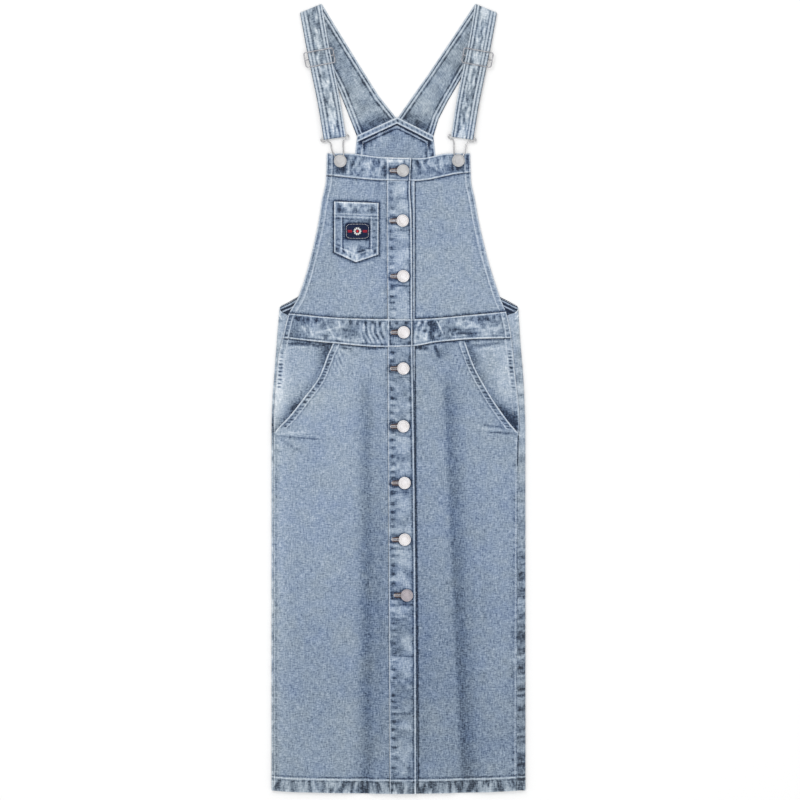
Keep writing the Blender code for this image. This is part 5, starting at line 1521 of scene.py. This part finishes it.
def strap_thread(name, side, outer, inner, share, width, turn_row, end_row):
    """Two rows of stitches down each edge, on the front run's face and on both sides of the back run."""
    centres, tangents, normals = [], [], []
    stretches = ((inner, 1, turn_row - 8, -1), (outer, 1, turn_row - 4, 1), (outer, turn_row, end_row - 2, 1))
    seams = [(distance, side < 0) for distance in STRAP_SEAMS_ARM]
    seams += [(distance, side > 0) for distance in STRAP_SEAMS_NECK]
    for surface, first, last, flip in stretches:
        for distance, from_first in seams:
            rows = np.arange(first, last)
            place = distance / width[rows, 0]
            column = np.interp(place if from_first else 1 - place, share, np.arange(len(share)))
            low = np.floor(column).astype(int)
            part = (column - low)[:, None]
            line = surface[rows, low] * (1 - part) + surface[rows, low + 1] * part
            run = along_points(line)
            at = np.arange(STITCH_PITCH / 2, run[-1], STITCH_PITCH)
            points = at_lengths(at, run, line)
            direction = at_lengths(at + 5e-4, run, line) - points
            direction[-1] = direction[-2]
            up = np.cross(direction, at_lengths(at, run, surface[rows, low + 1] - surface[rows, low]))
            up *= flip / np.linalg.norm(up, axis=1, keepdims=True)
            centres.append(points)
            tangents.append(direction)
            normals.append(up)
    centres, tangents, normals = (np.concatenate(group) for group in (centres, tangents, normals))
    centres = centres + STRAP_STITCH_RISE * normals
    return beads(name + "_thread", centres, tangents, normals, STITCH_SIZE, THREAD)


# ---------------------------------------------------------------- the patch, plain but for a small daisy
BORDER_INSET, BORDER_PITCH, BORDER_STITCH = 0.0024, 0.0026, (0.0017, 0.0007, 0.0005)
PETALS, PETAL_REACH = 10, 0.005


def patch():
    half_x, half_y = PATCH_SIZE[0] / 2, PATCH_SIZE[1] / 2
    rows, columns = places(PATCH_SIZE[1], 0.0014) * 2 - 1, places(PATCH_SIZE[0], 0.0014) * 2 - 1
    v = -rows[:, None] * half_y
    round_in = np.clip((np.abs(v) - half_y + PATCH_CORNER) / PATCH_CORNER, 0, 1)
    reach = half_x - PATCH_CORNER * (1 - np.sqrt(1 - round_in ** 2))
    x = PATCH_CENTRE[0] + columns * reach
    y = PATCH_CENTRE[1] + v + 0 * x
    nearest = np.minimum((1 - np.abs(columns)) * reach, half_y - np.abs(v))
    under = front_height(x, y) + CLOTH + POCKET_CLOTH + 2 * GAP
    relief = 0.0002 * clouds(x, y, 0.009, 501)
    outer = np.dstack([x, y, under + CLOTH * edge_rounding(nearest) + relief])
    made = shell("pocket_patch_cloth", "pocket_patch", outer, np.dstack([x, y, under]),
                 0.3 * clouds(x, y, 0.01, 502), outer[..., :2], PATCH_CLOTH)
    sewn = patch_stitches(made, half_x, half_y)


def patch_stitches(made, half_x, half_y):
    """A border of white stitches, and an embroidered daisy with a red middle between two sprigs."""
    turn = np.linspace(0, 2 * math.pi, 200)
    radius = (np.abs(np.cos(turn)) ** 5 + np.abs(np.sin(turn)) ** 5) ** -0.2    # an oblong with soft corners
    border = (PATCH_CENTRE[0] + (half_x - BORDER_INSET) * radius * np.cos(turn),
              PATCH_CENTRE[1] + (half_y - BORDER_INSET) * radius * np.sin(turn))
    edge = sew("patch_border_thread", made, [border], WHITE_THREAD, pitch=BORDER_PITCH, size=BORDER_STITCH)
    surface = surface_of(made)
    white, red = [], []
    for number in range(PETALS):
        for spread in (-0.17, 0.0, 0.17):
            way = 2 * math.pi * number / PETALS + spread
            white.append((PETAL_REACH * math.cos(way), PETAL_REACH * math.sin(way), way,
                          0.0046 - 0.006 * abs(spread)))
    for row in np.linspace(-0.0017, 0.0017, 6):
        red.append((0.0, row, 0.0, 2 * math.sqrt(0.0022 ** 2 - row ** 2)))
    for side in (-1, 1):
        for number in range(5):
            reach = side * (0.0098 + 0.0015 * number)
            red.append((reach, 0.0011, 0.9 * side, 0.0028))
            red.append((reach, -0.0011, -0.9 * side, 0.0028))
    made_of = []
    for name, rows, finish in (("daisy_petals", white, WHITE_THREAD), ("daisy_middle", red, RED_THREAD)):
        x, y, way, length = np.array(rows).T
        points, facing, _ = settle(surface, PATCH_CENTRE[0] + x, PATCH_CENTRE[1] + y)
        sizes = np.column_stack([length, 0 * length + 0.0009, 0 * length + 0.0006])
        direction = np.column_stack([np.cos(way), np.sin(way), 0 * way])
        made_of.append(beads(name, points + 0.0001 * facing, direction, facing, sizes, finish))
    return [edge, *made_of]


HOLE_REACH, HOLE_END = 0.0215, 0.003            # the slit, left and right of its button's middle
HOLE_SIDE, SATIN_SIDE, HOLE_PITCH = 0.0039, 0.0013, 0.00065
# The dark rows beside each slit stand partly for a cord, partly for painted shade in its gaps
CORD_AND_SHADE_PITCH, CORD_AND_SHADE_LEAN = 0.0012, 0.05
HOLE_STITCH, HOLE_CORD_AND_SHADE = (0.002, 0.0006, 0.0006), (0.002, 0.0023, 0.0008)


def buttonholes():
    """Left of each button: two close rows of pale satin stitches along the slit, with a round end, and along
    either side a row of dark brown beads, partly cord and partly painted shade in the gap by the slit, that
    opens a little towards the button."""
    surfaces = [surface_of(PIECES[name + "_cloth"])
                for name in ("bib_band_left", "bib_placket_top", "waistband_left", "skirt_placket_top")]
    satin, cords_and_gap_shade = [], []
    for x, y in BUTTONS:
        start, end = x - HOLE_REACH, x + HOLE_END
        round_end = start + 0.0008
        for side in (-1, 1):
            for number, place in enumerate(np.arange(round_end, end, HOLE_PITCH)):
                wander = 0.0001 * math.sin(7.1 * number + 2 * side)
                satin.append((place, y + side * SATIN_SIDE + wander, 0.1 * side, 1.0))
        for turn in np.radians(np.arange(100, 261, 20)):
            satin.append((round_end + SATIN_SIDE * math.cos(turn), y + SATIN_SIDE * math.sin(turn),
                          math.cos(turn), math.sin(turn)))
        for place in np.arange(start + CORD_AND_SHADE_PITCH, end, CORD_AND_SHADE_PITCH):
            open_by = (place - start) / (end - start)
            for side in (-1, 1):
                cords_and_gap_shade.append((place, y + side * HOLE_SIDE * (0.75 + 0.45 * open_by), 1.0, CORD_AND_SHADE_LEAN * side))
    for name, rows, size, finish in (("buttonhole_thread", satin, HOLE_STITCH, TAN_THREAD),
                                     ("buttonhole_cords_and_gap_shade", cords_and_gap_shade, HOLE_CORD_AND_SHADE, HOLE_DARK)):
        x, y, away_x, away_y = np.array(rows).T
        centres, normals = np.zeros((len(x), 3)), np.zeros((len(x), 3))
        for surface in surfaces:
            points, facing, kept = settle(surface, x, y)
            centres[kept], normals[kept] = points[kept], facing[kept]
        direction = np.column_stack([away_x, away_y, 0 * x])
        beads(name, centres + normals * 0.0001, direction, normals, size, finish)


# ---------------------------------------------------------------- metal fittings
BUTTON_CAP, BIB_BUTTON_CAP = 0.0022, 0.0023         # how thick a cap is above its stem
BUTTON_FACE = [  # inset, step up or down
    (0.0016, 0.0), (0.0004, -0.0006), (0.0022, 0.0003), (0.0004, -0.0002), (0.003, 0.0003),
]
STEM_RADIUS, STEM_FLARE = 0.0032, 0.001
SLIDER_LONG, SLIDER_WIDE, SLIDER_BAR, SLIDER_CORNER = 0.052, 0.027, 0.0019, 0.0042
SLIDER_THICK, SLIDER_HEIGHT, SLIDER_SHIFT = 0.0016, 0.0053, -0.0008


def facing_up(made):
    """Leaves only the topmost face of a piece selected."""
    highest = max(made.data.polygons, key=lambda face: (face.normal.z > 0.9, face.center.z))
    for group in (made.data.vertices, made.data.edges, made.data.polygons):
        group.foreach_set("select", np.zeros(len(group), bool))
    highest.select = True


def finished(made, finish, bevel, segments):
    """Rounds the hard edges and smooths the rest."""
    bpy.ops.object.select_all(action="DESELECT")
    bpy.context.view_layer.objects.active = made
    made.select_set(True)
    rounded = made.modifiers.new("rounded", "BEVEL")
    rounded.width, rounded.segments = bevel, segments
    rounded.limit_method, rounded.angle_limit = "ANGLE", math.radians(50)
    bpy.ops.object.modifier_apply(modifier="rounded")
    bpy.ops.object.shade_smooth_by_angle(angle=math.radians(35))
    made.data.materials.clear()
    made.data.materials.append(finish)


def joined(made, other):
    """Both pieces in one, the first."""
    made.select_set(True)
    other.select_set(True)
    bpy.context.view_layer.objects.active = made
    bpy.ops.object.join()
    return made


def button(radius, cap, depth):
    """A jeans button at the origin, its stem down: a rolled rim, a groove and a low dome."""
    bpy.ops.object.select_all(action="DESELECT")
    bpy.ops.mesh.primitive_cylinder_add(vertices=48, radius=radius, depth=cap, location=(0, 0, -cap / 2))
    made = bpy.context.object
    bpy.ops.object.transform_apply(location=True)
    facing_up(made)
    bpy.ops.object.mode_set(mode="EDIT")
    for thickness, step in BUTTON_FACE:
        bpy.ops.mesh.inset(thickness=thickness, depth=step)
    bpy.ops.object.mode_set(mode="OBJECT")
    finished(made, BUTTON_METAL, 0.0004, 3)
    bpy.ops.object.select_all(action="DESELECT")
    bpy.ops.mesh.primitive_cone_add(vertices=24, radius1=STEM_RADIUS, radius2=STEM_RADIUS + STEM_FLARE,
                                    depth=depth - cap, location=(0, 0, -(depth + cap) / 2))
    stem = bpy.context.object
    bpy.ops.object.transform_apply(location=True)
    return joined(made, stem)


def placed_copy(model, name, node, place, finish):
    """A copy with its own mesh, moved to its place, that stands in for a solid."""
    made = linked(name, model.data.copy())
    made.data.name = name
    made.data.transform(place)
    made.data.materials.clear()
    made.data.materials.append(finish)
    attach(made, "root")
    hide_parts(node)


def buttons():
    """The nine buttons of the front and the two of the bib, each with its own wear."""
    last = len(BUTTONS)
    finishes = {"button_%d" % number: BUTTON_METAL for number in range(1, last + 1)}
    finishes.update({"button_1": BIB_METAL, "button_%d" % last: WORN_METAL,
                     "bib_button_left": BIB_METAL, "bib_button_right": BIB_METAL})
    models = {}
    for name, finish in finishes.items():
        points = np.array([tuple(point.co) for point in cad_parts[name].data.vertices])
        low, high = points.min(axis=0), points.max(axis=0)
        cap = BIB_BUTTON_CAP if name.startswith("bib") else BUTTON_CAP
        if cap not in models:
            models[cap] = button(float(high[0] - low[0]) / 2, cap, float(high[2] - low[2]))
        middle = Vector(((low[0] + high[0]) / 2, (low[1] + high[1]) / 2, high[2]))
        placed_copy(models[cap], name + "_cap", name, Matrix.Translation(middle), finish)
    for model in models.values():
        bpy.data.objects.remove(model)


def slider():
    """A slider at the origin: a flat frame with round corners and bars, and a middle bar."""
    bpy.ops.object.select_all(action="DESELECT")
    bpy.ops.mesh.primitive_plane_add(size=1, location=(0, 0, 0))
    made = bpy.context.object
    made.scale = (SLIDER_LONG, SLIDER_WIDE, 1)
    bpy.ops.object.transform_apply(scale=True)
    bpy.ops.object.mode_set(mode="EDIT")
    bpy.ops.mesh.bevel(offset=SLIDER_CORNER, segments=5, affect="VERTICES")
    bpy.ops.mesh.inset(thickness=SLIDER_BAR, depth=0)
    bpy.ops.mesh.delete(type="FACE")
    bpy.ops.mesh.select_all(action="SELECT")
    bpy.ops.mesh.extrude_region_move(TRANSFORM_OT_translate={"value": (0, 0, SLIDER_THICK)})
    bpy.ops.mesh.select_all(action="SELECT")
    bpy.ops.mesh.normals_make_consistent(inside=False)
    bpy.ops.object.mode_set(mode="OBJECT")
    bpy.ops.object.select_all(action="DESELECT")
    bpy.ops.mesh.primitive_cube_add(size=1, location=(0, 0, SLIDER_THICK / 2))
    bar = bpy.context.object
    bar.scale = (SLIDER_LONG - SLIDER_BAR, SLIDER_BAR, SLIDER_THICK)
    bpy.ops.object.transform_apply(location=True, scale=True)
    joined(made, bar)
    finished(made, SLIDER_METAL, 0.0006, 3)
    return made


def fittings():
    buttons()
    model = slider()
    for side in (-1, 1):
        line = strap_line(SLIDER_DISTANCE, SLIDER_HEIGHT, np.array([0.0, 1.0]))
        along = (line[1] - line[0]) / np.linalg.norm(line[1] - line[0])
        middle = (line[0] + line[1]) / 2 + SLIDER_SHIFT * along
        turn = Matrix.Rotation(-side * math.atan2(along[1], along[0]), 4, "Z")
        place = Matrix.Translation((-side * middle[0], middle[1], middle[2])) @ turn
        which = "left" if side < 0 else "right"
        placed_copy(model, "slider_%s_frame" % which, "slider_" + which, place, SLIDER_METAL)
        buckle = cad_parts["buckle_" + which]
        buckle.data.materials.clear()
        buckle.data.materials.append(WIRE_METAL)
    bpy.data.objects.remove(model)


# ---------------------------------------------------------------- floor, light and camera
FLOOR_SIDE, FLOOR_HEIGHT = 8.0, -0.0002
WORLD_STRENGTH = 0.93
LAMPS = [  # name, place, size, power
    ("key", (-1.4, 2.2, 3.0), 1.8, 34.0),
    ("fill", (1.0, -2.2, 3.0), 2.4, 14.0),
    ("overhead", (0.0, 0.0, 4.8), 3.0, 34.0),
]
SENSOR_WIDTH = 36.0     # millimetres


def studio():
    bpy.ops.mesh.primitive_plane_add(size=FLOOR_SIDE, location=(0, 0, FLOOR_HEIGHT))
    floor = bpy.context.object
    floor.name = "floor"
    floor.data.materials.append(FLOOR_PAINT)

    world = bpy.data.worlds.new("studio")
    world.use_nodes = True
    sky = world.node_tree.nodes["Background"]
    sky.inputs["Color"].default_value = (1.0, 1.0, 1.0, 1)
    sky.inputs["Strength"].default_value = WORLD_STRENGTH
    bpy.context.scene.world = world
    for name, place, size, power in LAMPS:
        data = bpy.data.lights.new(name, "AREA")
        data.size = size
        data.energy = power
        lamp = linked(name, data)
        lamp.location = place
        lamp.rotation_euler = (Vector((0, 0, 0)) - Vector(place)).to_track_quat("-Z", "Y").to_euler()

    lens = bpy.data.cameras.new("camera")
    lens.sensor_width = SENSOR_WIDTH
    lens.lens = SENSOR_WIDTH * CAMERA_HEIGHT / (PICTURE_SIDE * METRES_PER_PIXEL)
    lens.clip_end = 50.0
    camera = linked("camera", lens)
    camera.location = (*PICTURE_CENTRE, CAMERA_HEIGHT)
    bpy.context.scene.camera = camera
    bpy.context.scene.view_settings.view_transform = "Standard"


skirt()
hip("hip_panel_left", -1, FRONT_EDGE_LEFT, SLANT_LEFT)
hip("hip_panel_right", 1, FRONT_EDGE_RIGHT, SLANT_RIGHT)
bands()
bib()
pocket()
patch()
buttonholes()
back()
yoke()
strap("strap_left", -1)
strap("strap_right", 1)
fittings()
studio()
